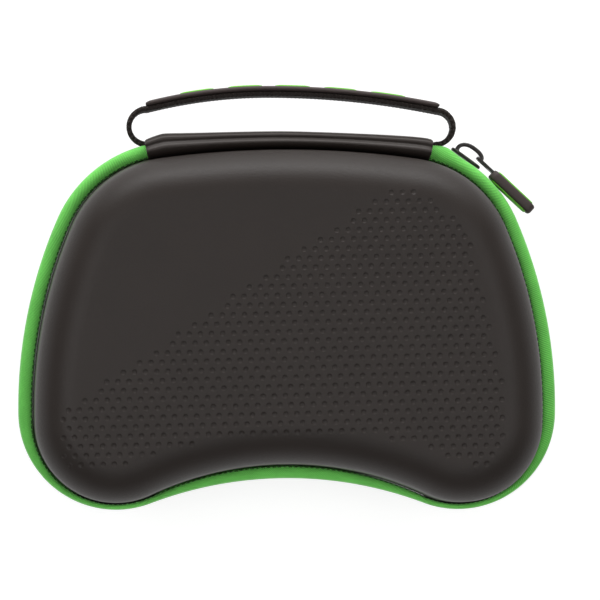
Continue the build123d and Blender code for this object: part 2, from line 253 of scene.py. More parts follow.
# The post between the plates, as (from, to, half width, corners)
POST_BOX = (-5.5, -2.5, 0.6, 0.3)
POST_BEVEL = 0.1
BRIDGE_STEP = 0.25
BRIDGE_T = 1.4
BRIDGE_HALF = 1.1
BRIDGE_LINE = [
    (60.7, 59.5), (60.4, 60.9), (61.4, 62.1), (63.0, 62.5), (64.9, 62.1), (66.8, 60.9), (68.5, 59.4),
    (69.4, 57.9), (69.0, 56.4),
]
PULLER_ANGLE = radians(-43.0)
PIVOT = np.array([68.728, 56.7335])
LINK_T = 1.0
LINK_EYE = (-0.9, 3.4, 1.6)
LINK_RIM = (-1.7, 8.5, 2.6)
# The link's section, as (share from its eye to its rim, share of its half thickness)
LINK_SECTION = [(0, -0.5), (0.12, -1), (0.88, -1), (1, -0.5), (1, 0.5), (0.88, 1), (0.12, 1), (0, 0.5)]
PULLER_FROM = 6.0
PULLER_TO = 25.5
PULLER_T = 3.5
PULLER_HALF = 4.5
PULLER_FACE_MARGIN = 1.6
PULLER_FACE_HALF = 3.6
PULLER_FACE_OUT = 0.42
PULLER_FACE_SINK = 0.15
PULLER_FACE_BEVEL = 0.2
PULLER_BEVEL = 0.75
PULLER_SET = -0.6

# The inside: bindings at the rims, the lining over the hinge, and the net pocket in the lid
BINDING_T = 0.9
BINDING_FROM = 0.6
BINDING_TO = 8.6
BINDING_RIB = 1.3
BINDING_LIFT = 0.06
BINDING_HIDDEN = 0.3
BINDING_STEP = 0.33
WALL_GAP = 0.1
HINGE_LINING_X = 48.5
HINGE_LINING_Z = 9.0
HINGE_LINING_T = 0.8
HINGE_LINING_STEPS = 160
HINGE_LINING_ROWS = 25
HINGE_CREASE = (1.9, 2.5)
HINGE_CREASE_T = 0.12
POCKET_TOP_Y = 8.0
POCKET_Z = 15.4
NET_T = 0.45
NET_CELL = 2.3
NET_STRAND = 0.6
NET_MARGIN = 1.0
NET_SIDES = 6
RIM_WIDE = 3.0
RIM_TO = 21.0
RIM_UNDER = 1.2
RIM_STEP = 0.4
HEM_WIDE = 8.0
HEM_T = 1.8
HEM_RIB = 1.5
HEM_LIFT = 0.1
HEM_WAVE = 0.35
HEM_WAVE_X = (5.3, 23.0)
HEM_STEPS = 620

# The photograph's camera and light
CAMERA_H = 1.35
CAMERA_SIDE = -0.055
SENSOR_W = 36.0
CLIP_START = 0.05
WORLD_LIGHT = 0.12
LAMPS = (
    ("back", (0.0, 1.35, 0.45), (1.8, 0.35), 26.0),
    ("left", (-0.6, 0.0, 1.2), (0.6, 0.6), 4.6),
    ("right", (0.6, 0.0, 1.2), (0.6, 0.6), 4.0),
    ("front", (0.0, -0.6, 1.2), (0.7, 0.5), 2.4),
)
FRAME_W = 0.2127
LOOK_AT = (4.61, 7.20)
FLOOR_HALF = 6.0
FLOOR_GAP = 0.0005
FLOOR_GREY = 0.45
FLOOR_GLOW = 0.74

# What follows from the plan's sizes
LOBE = np.array([CASE_WIDTH / 2 - LOBE_R, LOBE_BOTTOM_Y + LOBE_R])
TOP_CENTRE = np.array([0.0, BAND_TOP_Y - TOP_R])
CORNER = np.array([CORNER_X, TOP_CENTRE[1] + sqrt((TOP_R - CORNER_R) ** 2 - CORNER_X**2)])
WAIST_Y = LOBE[1] - sqrt((WAIST_R + LOBE_R) ** 2 - LOBE[0] ** 2) + WAIST_R


def arc(centre, radius, start, stop, steps, way=1.0):
    """Points and outward normals on an arc: centre plus radius times (cos a, sin a)."""
    a = np.linspace(start, stop, steps, endpoint=False)
    turn = np.stack([np.cos(a), np.sin(a)], 1)
    return np.array(centre) + radius * turn, way * turn


def plan(insets=(0.0, 0.0, 0.0, 0.0, 0.0)):
    """Points and normals round the case's plan, clockwise from the top's middle.

    insets draw in the side, the top and its corners, the lobe and the waist's middle, and
    the last one sets the lobe down. Tangent arcs touch each other: a side circle holds the
    corner's and the lobe's, and the waist's circle, of radius R, touches the lobe's from
    outside, R = (x^2 + d^2 - r^2) / (2 (r - d)) with d the lobe's height over the waist.
    Each arc keeps its own count of points, so plans drawn in by different insets correspond.
    """
    side_in, top_in, lobe_in, waist_in, drop = insets
    lobe = LOBE - [0.0, drop]
    lobe_r = LOBE_R - lobe_in
    to_corner = SIDE_R - side_in - (CORNER_R - top_in)
    to_lobe = SIDE_R - side_in - lobe_r
    step = lobe - CORNER
    apart = np.hypot(*step)
    along = (to_corner**2 - to_lobe**2 + apart**2) / (2 * apart)
    aside = sqrt(to_corner**2 - along**2)
    side = CORNER + (step * along + np.array([step[1], -step[0]]) * aside) / apart
    rise = lobe[1] - WAIST_Y - waist_in
    waist_r = (lobe[0] ** 2 + rise**2 - lobe_r**2) / (2 * (lobe_r - rise))
    waist = np.array([0.0, WAIST_Y + waist_in - waist_r])
    a_top = atan2(*(CORNER - TOP_CENTRE)[::-1])
    a_side = atan2(*(CORNER - side)[::-1])
    a_lobe = atan2(*(lobe - side)[::-1])
    a_waist = atan2(*(lobe - waist)[::-1])
    n = ARC_STEPS
    half = [
        arc(TOP_CENTRE, TOP_R - top_in, pi / 2, a_top, n["top"]),
        arc(CORNER, CORNER_R - top_in, a_top, a_side, n["corner"]),
        arc(side, SIDE_R - side_in, a_side, a_lobe, n["side"]),
        arc(lobe, lobe_r, a_lobe, a_waist - pi, n["lobe"]),
        arc(waist, waist_r, a_waist, pi / 2, n["waist"], way=-1.0),
    ]
    points = np.concatenate([p for p, _ in half])
    normals = np.concatenate([v for _, v in half])
    flip = np.array([-1.0, 1.0])
    middle = np.array([[0.0, WAIST_Y + waist_in]])
    points = np.concatenate([points, middle, points[:0:-1] * flip])
    normals = np.concatenate([normals, [[0.0, -1.0]], normals[:0:-1] * flip])
    return points, normals


def even(inset):
    """The same inset all round."""
    return DRAWN_IN * inset


def lengths(points):
    """Distance along a line of points from its first point."""
    gaps = np.hypot(*np.diff(points, axis=0).T[:2])
    return np.concatenate([[0.0], np.cumsum(gaps)])


def grid_faces(rows, columns, wrap_rows=False, wrap_columns=False):
    """Quads between neighbours on a grid of rows by columns, closed on either way if asked."""
    i = np.arange(rows - (not wrap_rows))[:, None]
    j = np.arange(columns - (not wrap_columns))
    i2, j2 = (i + 1) % rows, (j + 1) % columns
    quads = np.stack([i * columns + j, i2 * columns + j, i2 * columns + j2, i * columns + j2], -1)
    return quads.reshape(-1, 4)


def linked(name, data):
    """An object made from its data, in the scene."""
    piece = bpy.data.objects.new(name, data)
    bpy.context.scene.collection.objects.link(piece)
    return piece


def new_piece(name, points, faces, body, slot, finish=None, uv=None, smooth=True, replaces=()):
    """A mesh object from points in millimetres, at the origin, riding on a body.

    Its material is the slot's own unless a finish is named.
    """
    mesh = bpy.data.meshes.new(name)
    face_list = faces.tolist() if isinstance(faces, np.ndarray) else faces
    mesh.from_pydata((np.asarray(points) * MM).tolist(), [], face_list)
    mesh.validate()
    if uv is not None:
        layer = mesh.uv_layers.new(name="path")
        index = np.empty(len(mesh.loops), dtype=np.int64)
        mesh.loops.foreach_get("vertex_index", index)
        layer.data.foreach_set("uv", np.asarray(uv)[index].ravel())
    mesh.polygons.foreach_set("use_smooth", np.full(len(mesh.polygons), smooth))
    mesh.materials.append(material(finish or slot))
    piece = linked(name, mesh)
    recalculate(mesh)
    if body:
        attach(piece, body)
    if replaces:
        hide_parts(*replaces)
    return piece


def recalculate(mesh):
    """Merges doubled points and turns every face outwards."""
    work = bmesh.new()
    work.from_mesh(mesh)
    bmesh.ops.remove_doubles(work, verts=work.verts, dist=MERGE * MM)
    bmesh.ops.recalc_face_normals(work, faces=work.faces)
    work.to_mesh(mesh)
    work.free()


class Value:
    """A socket that Python's operators can do sums with, each adding its Math nodes."""

    def __init__(self, nodes, socket):
        self.nodes = nodes
        self.socket = socket

    def math(self, operation, *others):
        inputs = dict(enumerate((self, *others)))
        return self.nodes.make("ShaderNodeMath", {"operation": operation}, inputs)

    def __add__(self, other):
        return self.math("ADD", other)

    def __sub__(self, other):
        return self.math("SUBTRACT", other)

    def __mul__(self, other):
        return self.math("MULTIPLY", other)

    def __rsub__(self, other):
        return self.math("MULTIPLY", -1.0).math("ADD", other)

    __radd__ = __add__
    __rmul__ = __mul__

    def wave(self):
        """Sine of the value, from 0 to 1."""
        return self.math("SINE").math("MULTIPLY_ADD", 0.5, 0.5)

    def power(self, other):
        return self.math("POWER", other)


class Nodes:
    """A material's node tree."""

    def __init__(self, name):
        self.material = bpy.data.materials.new(name)
        self.material.use_nodes = True
        self.tree = self.material.node_tree
        self.surface = self.tree.nodes["Principled BSDF"]

    def make(self, kind, settings=None, inputs=None, out=0):
        """Adds a node, sets it up, and fills its sockets with values or links."""
        node = self.tree.nodes.new(kind)
        for key, value in (settings or {}).items():
            if key == "stops":
                ramp = node.color_ramp
                while len(ramp.elements) < len(value):
                    ramp.elements.new(1.0)
                for element, (place, colour) in zip(ramp.elements, value):
                    element.position = place
                    element.color = rgba(colour)
            else:
                setattr(node, key, value)
        for key, value in (inputs or {}).items():
            self.fill(node.inputs[key], value)
        return Value(self, node.outputs[out])

    def fill(self, socket, value):
        if isinstance(value, Value):
            self.tree.links.new(value.socket, socket)
        else:
            socket.default_value = value

    def set(self, **inputs):
        """Fills the surface shader's sockets, named with underscores for spaces."""
        for key, value in inputs.items():
            self.fill(self.surface.inputs[key.replace("_", " ")], value)

    def noise(self, where, scale, detail, rough=0.5):
        inputs = {"Vector": where, "Scale": scale, "Detail": detail, "Roughness": rough}
        return self.make("ShaderNodeTexNoise", None, inputs)

    def place(self):
        """The point's place on the piece, in metres."""
        return self.make("ShaderNodeTexCoord", out=3)

    def path(self):
        """The piece's own map: distance along it and across it, in millimetres."""
        uv = self.make("ShaderNodeUVMap", {"uv_map": "path"})
        parts = self.make("ShaderNodeSeparateXYZ", None, {0: uv}).socket.node
        return Value(self, parts.outputs[0]), Value(self, parts.outputs[1])

    def blend(self, factor, first, second):
        inputs = {0: factor, 6: rgba(first), 7: rgba(second)}
        return self.make("ShaderNodeMix", {"data_type": "RGBA"}, inputs, out=2)

    def bump(self, height, strength, distance):
        inputs = {"Height": height, "Strength": strength, "Distance": distance}
        return self.make("ShaderNodeBump", None, inputs)


def rgba(colour):
    """A colour as four numbers."""
    return (*colour[:3], 1.0)


def linear(r, g, b):
    """A colour given in screen values from 0 to 255, as linear light."""
    c = np.array([r, g, b]) / 255.0
    return tuple(float(v) for v in np.where(c <= 0.04045, c / 12.92, ((c + 0.055) / 1.055) ** 2.4))


def skin_material(name, colour, light, rough, grain=1400.0):
    """Moulded polyurethane skin: matt, finely pebbled, a little uneven in tone."""
    n = Nodes(name)
    where = n.place()
    tone = n.noise(where, 60.0, 4.0)
    fine = n.noise(where, grain, 2.0)
    n.set(Base_Color=n.blend(tone, colour, light), Roughness=fine * 0.16 + (rough - 0.08))
    n.set(Normal=n.bump(fine, 0.35, 0.12 * MM), Specular_IOR_Level=0.3)
    return n.material


def cloth_material(name, colour, light, grain=1800.0):
    """Short-pile cloth: a soft, uneven, fibrous surface."""
    n = Nodes(name)
    where = n.place()
    fibre = n.noise(where, grain, 5.0, 0.7)
    n.set(Base_Color=n.blend(fibre, colour, light), Roughness=0.9)
    n.set(Normal=n.bump(fibre, 0.6, 0.25 * MM), Specular_IOR_Level=0.15)
    return n.material


def twill_material(name, valley_shade, mid, light):
    """Woven tape: slanting ribs along the piece's own map, crossed by fine threads; its colour is painted shade in
    the valleys between the ribs and a painted highlight on their crests, with a random tone mixed in.
    """
    n = Nodes(name)
    along, across = n.path()
    rib = ((along + across * TWILL_SLANT) * (2 * pi / TWILL_PITCH)).wave()
    thread = ((along - across * TWILL_SLANT) * (2 * pi / TWILL_PITCH * 2.5)).wave()
    tone = n.noise(n.place(), 120.0, 2.0)
    # Painted shade and highlight: the ribs' valleys take the dark stop and their crests the light one
    shade = (rib * 0.6 + thread * 0.25 + tone * 0.3).power(0.9)
    colour = n.make("ShaderNodeValToRGB", {"stops": [(0.1, valley_shade), (0.5, mid), (1.0, light)]}, {0: shade})
    n.set(Base_Color=colour, Roughness=0.7, Normal=n.bump(rib + thread * 0.4, 0.4, 0.1 * MM))
    n.set(Specular_IOR_Level=0.35, Sheen_Weight=0.3, Sheen_Roughness=0.4)
    return n.material


def webbing_material(name, valley_shade, light):
    """Flat-woven webbing: rows of small raised yarns, each row half a step along, coloured lighter on the yarns as
    a painted highlight and darker between them as painted shade.
    """
    n = Nodes(name)
    along, across = n.path()
    row = (across * (2 * pi / WEAVE_ROW)).wave()
    yarn = (along * (2 * pi / WEAVE_PITCH) + (across * (pi / WEAVE_ROW)).math("SINE") * pi).wave()
    height = row * yarn
    # Painted highlight on the raised yarns and painted shade between them, following the relief's height
    n.set(Base_Color=n.blend(height, valley_shade, light), Roughness=0.7, Specular_IOR_Level=0.3)
    n.set(Normal=n.bump(height, 0.7, 0.25 * MM))
    return n.material


def plain_material(name, colour, rough, coat=0.0, bump=0.08, specular=0.4):
    """Moulded or cast stuff: one colour with a slight grain."""
    n = Nodes(name)
    grit = n.noise(n.place(), 900.0, 2.0)
    n.set(Base_Color=rgba(colour), Roughness=grit * 0.14 + (rough - 0.07), Coat_Weight=coat)
    n.set(Normal=n.bump(grit, 0.3, bump * MM), Specular_IOR_Level=specular)
    return n.material


MATERIALS = {
    "shell_skin": lambda n, c: skin_material(n, c.skin, brighter(c.skin, 1.25), 0.52),
    "cover_skin": lambda n, c: skin_material(n, c.cover, brighter(c.cover, 1.3), 0.5, 1000.0),
    # The tape's darkened and brightened copies are painted shade and painted highlight over its ribs
    "zipper_tape": lambda n, c: twill_material(n, brighter(c.tape, 0.3), c.tape, brighter(c.tape, 1.4)),
    # The stitches' near-black green is partly their own thread colour and partly painted shade for the shadowed
    # gap between the tape and the shell
    "thread": lambda n, c: plain_material(n, brighter(c.tape, 0.16), 0.8),
    "zipper_coil": lambda n, c: plain_material(n, linear(34, 32, 32), 0.42),
    "lining": lambda n, c: cloth_material(n, c.lining, brighter(c.lining, 2.6)),
    "net": lambda n, c: plain_material(n, linear(46, 45, 47), 0.75, specular=0.2),
    "elastic": lambda n, c: cloth_material(n, linear(26, 26, 28), linear(48, 48, 50), grain=900.0),
    # The webbing's darker and lighter copies are painted shade and painted highlight over its yarns
    "webbing": lambda n, c: webbing_material(n, brighter(c.webbing, 0.5), brighter(c.webbing, 1.7)),
    "grip_rubber": lambda n, c: plain_material(n, c.grip, 0.62),
    "green_rubber": lambda n, c: plain_material(n, c.accent, 0.6),
    "slider_metal": lambda n, c: plain_material(n, linear(30, 25, 24), 0.4, coat=0.2, bump=0.03),
}


def brighter(colour, share):
    """A colour times a share."""
    return tuple(min(1.0, float(v) * share) for v in colour)


def material(name):
    """A slot's material, made the first time that it is asked for."""
    full_name = f"case {name}"
    made = bpy.data.materials.get(full_name)
    return made or MATERIALS[name](full_name, bpy.context.scene.case_colours)


def shell_profile(depth_in=0.0):
    """The shell's wall and round-over as (inset, height) from the rim to the face's edge.

    A line leaning in by the draft, then an arc that touches it and the face: centre (c, z),
    inset = c - r cos a, height = z + r sin a, with a from minus the draft to a quarter turn.
    """
    radius = EDGE_R - depth_in
    centre_z = SHELL_DEPTH - EDGE_R
    centre_in = (centre_z + EDGE_R * sin(DRAFT)) * tan(DRAFT) + EDGE_R * cos(DRAFT)
    a = np.linspace(-DRAFT, pi / 2, ROUND_STEPS)
    bend = np.stack([centre_in - radius * np.cos(a), centre_z + radius * np.sin(a)], 1)
    foot_in = bend[0, 0] - (bend[0, 1] - RIM_GAP) * tan(DRAFT)
    t = np.linspace(0, 1, WALL_STEPS)[:-1, None]
    wall = np.array([[foot_in, RIM_GAP]]) * (1 - t) + bend[0] * t
    return np.concatenate([wall, bend])


def loops(profile):
    """A closed plan for each (inset, height) of a profile, as rows of points."""
    rows = []
    for inset, height in profile:
        points, _ = plan(BAND + even(inset))
        rows.append(np.column_stack([points, np.full(len(points), height)]))
    return np.stack(rows)


def inside_distance(points, outline):
    """How far each point lies from an outline: from the nearest of its straight stretches."""
    nearest = np.full(len(points), np.inf)
    for a, b in zip(outline, np.roll(outline, -1, axis=0)):
        share = np.clip((points - a) @ (b - a) / ((b - a) @ (b - a)), 0, 1)
        nearest = np.minimum(nearest, np.hypot(*(points - a - share[:, None] * (b - a)).T))
    return nearest


def is_inside(points, outline):
    """Which points an outline holds, by counting the edges that a ray to the right crosses."""
    a, b = outline, np.roll(outline, -1, axis=0)
    x, y = points[:, :1], points[:, 1:]
    crosses = (a[:, 1] > y) != (b[:, 1] > y)
    with np.errstate(divide="ignore", invalid="ignore"):
        meet = a[:, 0] + (y - a[:, 1]) * (b[:, 0] - a[:, 0]) / (b[:, 1] - a[:, 1])
    return (crosses & (x < meet)).sum(1) % 2 == 1


def staggered(left, right, low, high, step_x, step_y):
    """A staggered grid of points: every second row moved by half a step."""
    rows = np.arange(int((high - low) / step_y) + 1)
    columns = np.arange(int((right - left) / step_x) + 1)
    i, j = np.meshgrid(rows, columns, indexing="ij")
    x = left + (j + i % 2 / 2) * step_x
    return np.stack([x.ravel(), (low + i * step_y).ravel()], 1)


def dimple_centres(outline):
    """The dimples' places: inside the face's edge and under the slanting line."""
    spots = staggered(
        DIMPLE_LEFT_X, DIMPLE_RIGHT_X, DIMPLE_LOW_Y, DIMPLE_HIGH_Y, DIMPLE_PITCH_X, DIMPLE_PITCH_Y
    )
    turn = DIMPLE_TILT
    spots = spots @ np.array([[cos(turn), sin(turn)], [-sin(turn), cos(turn)]])
    under = spots[:, 1] < SLANT_LOW[1] + (spots[:, 0] - SLANT_LOW[0]) * SLANT_RISE
    spots = spots[under & is_inside(spots, DIMPLE_FIELD) & is_inside(spots, outline)]
    return spots[inside_distance(spots, outline) > DIMPLE_MARGIN]


def face_height(flat, outline, cut, radius, lift):
    """Height of the face over the seam: the rest of the round-over, then a slight crown.

    With s the distance inside the outline, the arc is z + sqrt(r^2 - (c - s)^2), and the
    crown a smooth step over CROWN_REACH.
    """
    centre_in = radius * cos(cut)
    depth = inside_distance(flat, outline)
    off = np.clip(centre_in - depth, 0, None)
    share = np.clip((depth - centre_in) / CROWN_REACH, 0, 1)
    return SHELL_DEPTH - EDGE_R + np.sqrt(radius**2 - off**2) + lift * share**2 * (3 - 2 * share)


def cap(outline, rings, centres=None):
    """Triangles over an outline, through the rings inside it, with a hole at each dimple."""
    low, high = outline.min(0), outline.max(0)
    grid = staggered(low[0], high[0], low[1], high[1], CAP_STEP, CAP_STEP)
    last = rings[-1] if len(rings) else outline
    grid = grid[is_inside(grid, last)]
    grid = grid[inside_distance(grid, last) > CAP_STEP / 2]
    inner = np.concatenate([*rings, grid])
    parts = [outline]
    if centres is not None:
        gap = nearest_gap(inner, centres)
        inner = inner[gap > DIMPLE_RINGS[0][0] + DIMPLE_CLEAR]
        parts.append((centres[:, None] + DIMPLE_RINGS[0][0] * circle()).reshape(-1, 2))
    points = np.concatenate([*parts, inner])
    count = len(outline)
    edges = [(i, (i + 1) % count) for i in range(count)]
    found = delaunay_2d_cdt([Vector(p) for p in points.tolist()], edges, [], 0, 1e-6)
    flat = np.array([tuple(p) for p in found[0]])
    triangles = np.array([face for face in found[2] if len(face) == 3])
    middle = flat[triangles].mean(1)
    keep = is_inside(middle, outline)
    if centres is not None:
        keep &= nearest_gap(middle, centres) > DIMPLE_RINGS[0][0] * DIMPLE_HOLE
    return flat, triangles[keep]


def nearest_gap(points, centres):
    """Distance from each point to the nearest of some centres."""
    nearest = np.full(len(points), np.inf)
    for group in np.array_split(centres, 16):
        gap = np.hypot(points[:, :1] - group[:, 0], points[:, 1:] - group[:, 1]).min(1)
        nearest = np.minimum(nearest, gap)
    return nearest


def circle():
    """A dimple's ring of points, at radius one."""
    turn = np.linspace(0, 2 * pi, DIMPLE_POINTS, endpoint=False)
    return np.stack([np.cos(turn), np.sin(turn)], 1)


def dimples(centres, height_of, deep):
    """Rings of points that sink into each dimple, and their faces with a fan at the bottom."""
    radii = np.array([r for r, _ in DIMPLE_RINGS])
    sunk = np.array([d for _, d in DIMPLE_RINGS])
    flat = centres[:, None, None] + radii[:, None, None] * circle()
    shape = flat.shape[:3]
    z = height_of(flat.reshape(-1, 2)).reshape(shape) - deep * sunk[:, None]
    walls = np.concatenate([flat, z[..., None]], -1).reshape(len(centres), -1, 3)
    floor = np.column_stack([centres, height_of(centres) - deep])[:, None]
    points = np.concatenate([walls, floor], 1)
    size = points.shape[1]
    quads = grid_faces(len(DIMPLE_RINGS), DIMPLE_POINTS, wrap_columns=True)
    last = (len(DIMPLE_RINGS) - 1) * DIMPLE_POINTS + np.arange(DIMPLE_POINTS)
    fan = np.stack([last, np.roll(last, -1), np.full(DIMPLE_POINTS, size - 1)], 1)
    step = (np.arange(len(centres)) * size)[:, None, None]
    return points.reshape(-1, 3), (quads + step).reshape(-1, 4), (fan + step).reshape(-1, 3)


def shell(name, body, side, slot, depths, crown=0.0, deep=0.0, replaces=()):
    """One shell layer between two depths under the skin, joined at the rim, both faces capped.

    side is 1 over the seam and -1 under it, and deep is how far the dimples sink.
    """
    rows, ends = [], []
    for depth, way in zip(depths, (-1, 1)):
        profile = shell_profile(depth)
        radius = EDGE_R - depth
        cut = len(profile) - ROUND_STEPS + CAP_ROW
        angle = asin((profile[cut, 1] - SHELL_DEPTH + EDGE_R) / radius)
        surface = loops(profile)
        rows.append(surface[: cut + 1][::way])
        ends.append((surface[cut, :, :2], surface[cut + 1 :, :, :2], angle, radius))
    wall = np.concatenate(rows)
    faces = grid_faces(*wall.shape[:2], wrap_columns=True).tolist()
    points = [wall.reshape(-1, 3)]
    total = len(points[0])
    for number, (outline, rings, angle, radius) in enumerate(ends):
        pitted = deep > 0 and number == 0
        lift = crown if number == 0 else 0.0
        centres = dimple_centres(outline) if pitted else None
        flat, triangles = cap(outline, rings, centres)

        def height_of(places):
            return face_height(places, outline, angle, radius, lift)

        points.append(np.column_stack([flat, height_of(flat)]))
        faces += (triangles + total).tolist()
        total += len(flat)
        if pitted:
            pits, quads, fans = dimples(centres, height_of, deep)
            points.append(pits)
            faces += (quads + total).tolist() + (fans + total).tolist()
            total += len(pits)
    points = np.concatenate(points)
    points[:, 2] = SEAM_Z + side * points[:, 2]
    return new_piece(name, points, faces, body, slot, replaces=replaces)


class CASE_OT_lid_shell(bpy.types.Operator):
    """Builds the lid's dimpled skin and the lining inside it"""

    bl_idname = "case.lid_shell"
    bl_label = "Lid shell"

    def execute(self, context):
        sizes = context.scene.case_shell
        skin, crown, deep = sizes.skin / MM, sizes.crown / MM, sizes.dimple / MM
        shell("lid_skin", "lid", 1, "shell_skin", (0.0, skin), crown, deep, ["lid_shell"])
        shell("lid_inside", "lid", 1, "lining", (skin, WALL))
        return {"FINISHED"}


class CASE_OT_base_shell(bpy.types.Operator):
    """Builds the base's skin and the lining inside it"""

    bl_idname = "case.base_shell"
    bl_label = "Base shell"

    def execute(self, context):
        skin = context.scene.case_shell.skin / MM
        shell("base_skin", "base", -1, "shell_skin", (0.0, skin), replaces=["base_shell"])
        shell("base_inside", "base", -1, "lining", (skin, WALL))
        return {"FINISHED"}


def closed(line):
    """A line of points with its first point repeated at its end."""
    return np.concatenate([line, line[:1]])


PLAN_AT = lengths(closed(plan()[0]))
PLAN_LENGTH = PLAN_AT[-1]


def plan_at(distance, insets):
    """Points and outward normals at distances along the outer plan, on a plan drawn in."""
    place = np.arange(len(PLAN_AT))
    index = np.interp(np.mod(distance, PLAN_LENGTH), PLAN_AT, place)
    points, normals = (between(index, place, closed(line)) for line in plan(insets))
    return points, normals / np.hypot(*normals.T)[:, None]


def between(at, places, line):
    """A flat line's points at given places, straight between its own points."""
    return np.stack([np.interp(at, places, line[:, k]) for k in (0, 1)], 1)


def distance_to(x):
    """Distance along the outer plan from its top's middle to a place on the top arc."""
    return TOP_R * asin(x / TOP_R)


def quarters(a, b):
    """The points a quarter and three quarters of the way from each point of a to b's."""
    return np.stack([a * 0.75 + b * 0.25, a * 0.25 + b * 0.75], 1).reshape(-1, a.shape[1])


def smooth(points, times=2):
    """A line with its corners cut a number of times; both ends stay."""
    points = np.asarray(points, float)
    for _ in range(times):
        points = np.concatenate([points[:1], quarters(points[:-1], points[1:]), points[-1:]])
    return points


def round_loop(points, times=2):
    """A closed line with its corners cut."""
    points = np.asarray(points, float)
    for _ in range(times):
        points = quarters(points, np.roll(points, -1, axis=0))
    return points


def tube_faces(rows, columns):
    """Faces of a row of closed sections, with a many-sided face at either end."""
    faces = grid_faces(rows, columns, wrap_columns=True).tolist()
    return faces + [list(range(columns)), list(range((rows - 1) * columns, rows * columns))]


def tube_piece(name, grid, body, slot, finish=None, uv=None, replaces=()):
    """A piece from a grid of closed sections, and its map if it has one."""
    faces = tube_faces(*grid.shape[:2])
    if uv is not None:
        uv = uv.reshape(-1, 2)
    return new_piece(name, grid.reshape(-1, 3), faces, body, slot, finish, uv, replaces=replaces)


def section_normals(section):
    """Outward normals of a closed section, in its own plane."""
    ahead = np.roll(section, -1, axis=0) - np.roll(section, 1, axis=0)
    normals = np.stack([ahead[:, 1], -ahead[:, 0]], 1)
    normals /= np.maximum(np.hypot(*normals.T), 1e-9)[:, None]
    area = (section[:, 0] * np.roll(section[:, 1], -1) - section[:, 1] * np.roll(section[:, 0], -1)).sum()
    return normals if area > 0 else -normals


def ribbon(distance, section, insets_of, scale, side, relief=None, bulge=0.0):
    """A closed section of (place across, height) run along the plan, with a relief on it.

    insets_of turns a place across and a height into the plan's insets, and scale turns the
    place into millimetres; relief(along, across, place, height) moves points out by so much, and
    bulge moves the sections' outer edges (place 0) out and leaves place 1 where it is.
    Returns points as rows by columns and their (along, across) map.
    """
    flat = section * [scale, 1.0]
    normals = section_normals(flat)
    across = lengths(closed(flat))[:-1]
    columns = []
    for (place, height), (push_in, push_up), over in zip(section, normals, across):
        points, outward = plan_at(distance, insets_of(place, height))
        lift = relief(distance, over, place, height) if relief else np.zeros(len(distance))
        points = points + outward * (bulge * (1 - place) - push_in * lift)[:, None]
        columns.append(np.column_stack([points, SEAM_Z + side * (height + push_up * lift)]))
    along, over = np.meshgrid(distance, across, indexing="ij")
    return np.stack(columns, 1), np.stack([along, over], -1)


def joined(parts):
    """Several meshes' points and faces as one."""
    points, faces, total = [], [], 0
    for some, its_faces in parts:
        points.append(some)
        faces += [[k + total for k in face] for face in its_faces]
        total += len(some)
    return np.concatenate(points), faces


def capsules(places, ways, ups, size):
    """Small threads with rounded ends: a capsule turned to lie along each way.

    size is (half length, half width, half height); returns points and faces.
    """
    count = THREAD_SIDES
    turn = np.linspace(0, 2 * pi, count, endpoint=False)
    ring = np.stack([np.zeros(count), np.cos(turn), np.sin(turn)], 1)
    ends = [ring * THREAD_TAPER + [way * THREAD_SHOULDER, 0, 0] for way in (-1, 1)]
    unit = np.concatenate([[[-1, 0, 0]], ends[0], ring, ends[1], [[1, 0, 0]]]) * size
    sides = np.cross(ups, ways)
    frame_of = np.stack([ways, sides, ups], 1)
    points = places[:, None] + np.einsum("pk,nkc->npc", unit, frame_of)
    quads = grid_faces(3, count, wrap_columns=True) + 1
    step = np.arange(count)
    after = (step + 1) % count
    tip, last = len(unit) - 1, 1 + 2 * count
    start = np.stack([np.zeros(count, int), 1 + step, 1 + after], 1)
    end = np.stack([np.full(count, tip), last + after, last + step], 1)
    move = np.arange(len(places))[:, None, None] * len(unit)
    faces = (quads + move).reshape(-1, 4).tolist()
    faces += (np.concatenate([start, end]) + move).reshape(-1, 3).tolist()
    return points.reshape(-1, 3), faces


def zipper_distances(step):
    """Even distances along the plan from one end of the zipper to the other."""
    start = distance_to(TAPE_START_X)
    return np.linspace(start, PLAN_LENGTH - start, int((PLAN_LENGTH - 2 * start) / step))


def follow_lid(piece):
    """Bakes the piece's placement into its points."""
    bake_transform(piece)


def tape(name, side, body, lift, replaces):
    """One half of the zipper's tape."""
    section = np.concatenate([smooth(TAPE_OUTSIDE, 1), TAPE_INSIDE])
    distance = zipper_distances(TAPE_STEP)

    def ribs(along, across, share, height):
        """Slanting ribs: a sine along the tape and across it, nearly flat where it is hidden."""
        phase = (along + across * TWILL_SLANT) * (2 * pi / TWILL_PITCH)
        shown = height > RIB_FROM_Z or share < RIB_TO_SHARE
        return lift * (1.0 if shown else RIB_HIDDEN) * np.sin(phase)

    def insets_of(share, height):
        """A share of the band's own width, all round."""
        return share * BAND

    bulge = PARTED * np.exp(-(((distance - PARTED_AT) / PARTED_REACH) ** 2))
    grid, uv = ribbon(distance, section, insets_of, BAND[:4].mean(), side, ribs, bulge)
    return tube_piece(name, grid, body, "zipper_tape", uv=uv, replaces=replaces)


def stitches(name, side, body, pitch):
    """A row of thread along the tape's inner edge; its dark colour is partly painted shade for the gap beside the
    shell.
    """
    distance = zipper_distances(pitch)
    points, outward = plan_at(distance, STITCH_SHARE * BAND)
    places = np.column_stack([points, np.full(len(points), SEAM_Z + side * STITCH_Z)])
    ways = np.column_stack([outward[:, 1], -outward[:, 0], np.zeros(len(points))])
    ups = np.column_stack([-outward * STITCH_LEAN, np.full(len(points), side * 1.0)])
    ups /= np.linalg.norm(ups, axis=1)[:, None]
    length, wide, high = STITCH_SIZE
    points, faces = capsules(places, ways, ups, (length * pitch, wide, high))
    return new_piece(name, points, faces, body, "zipper_tape", "thread")


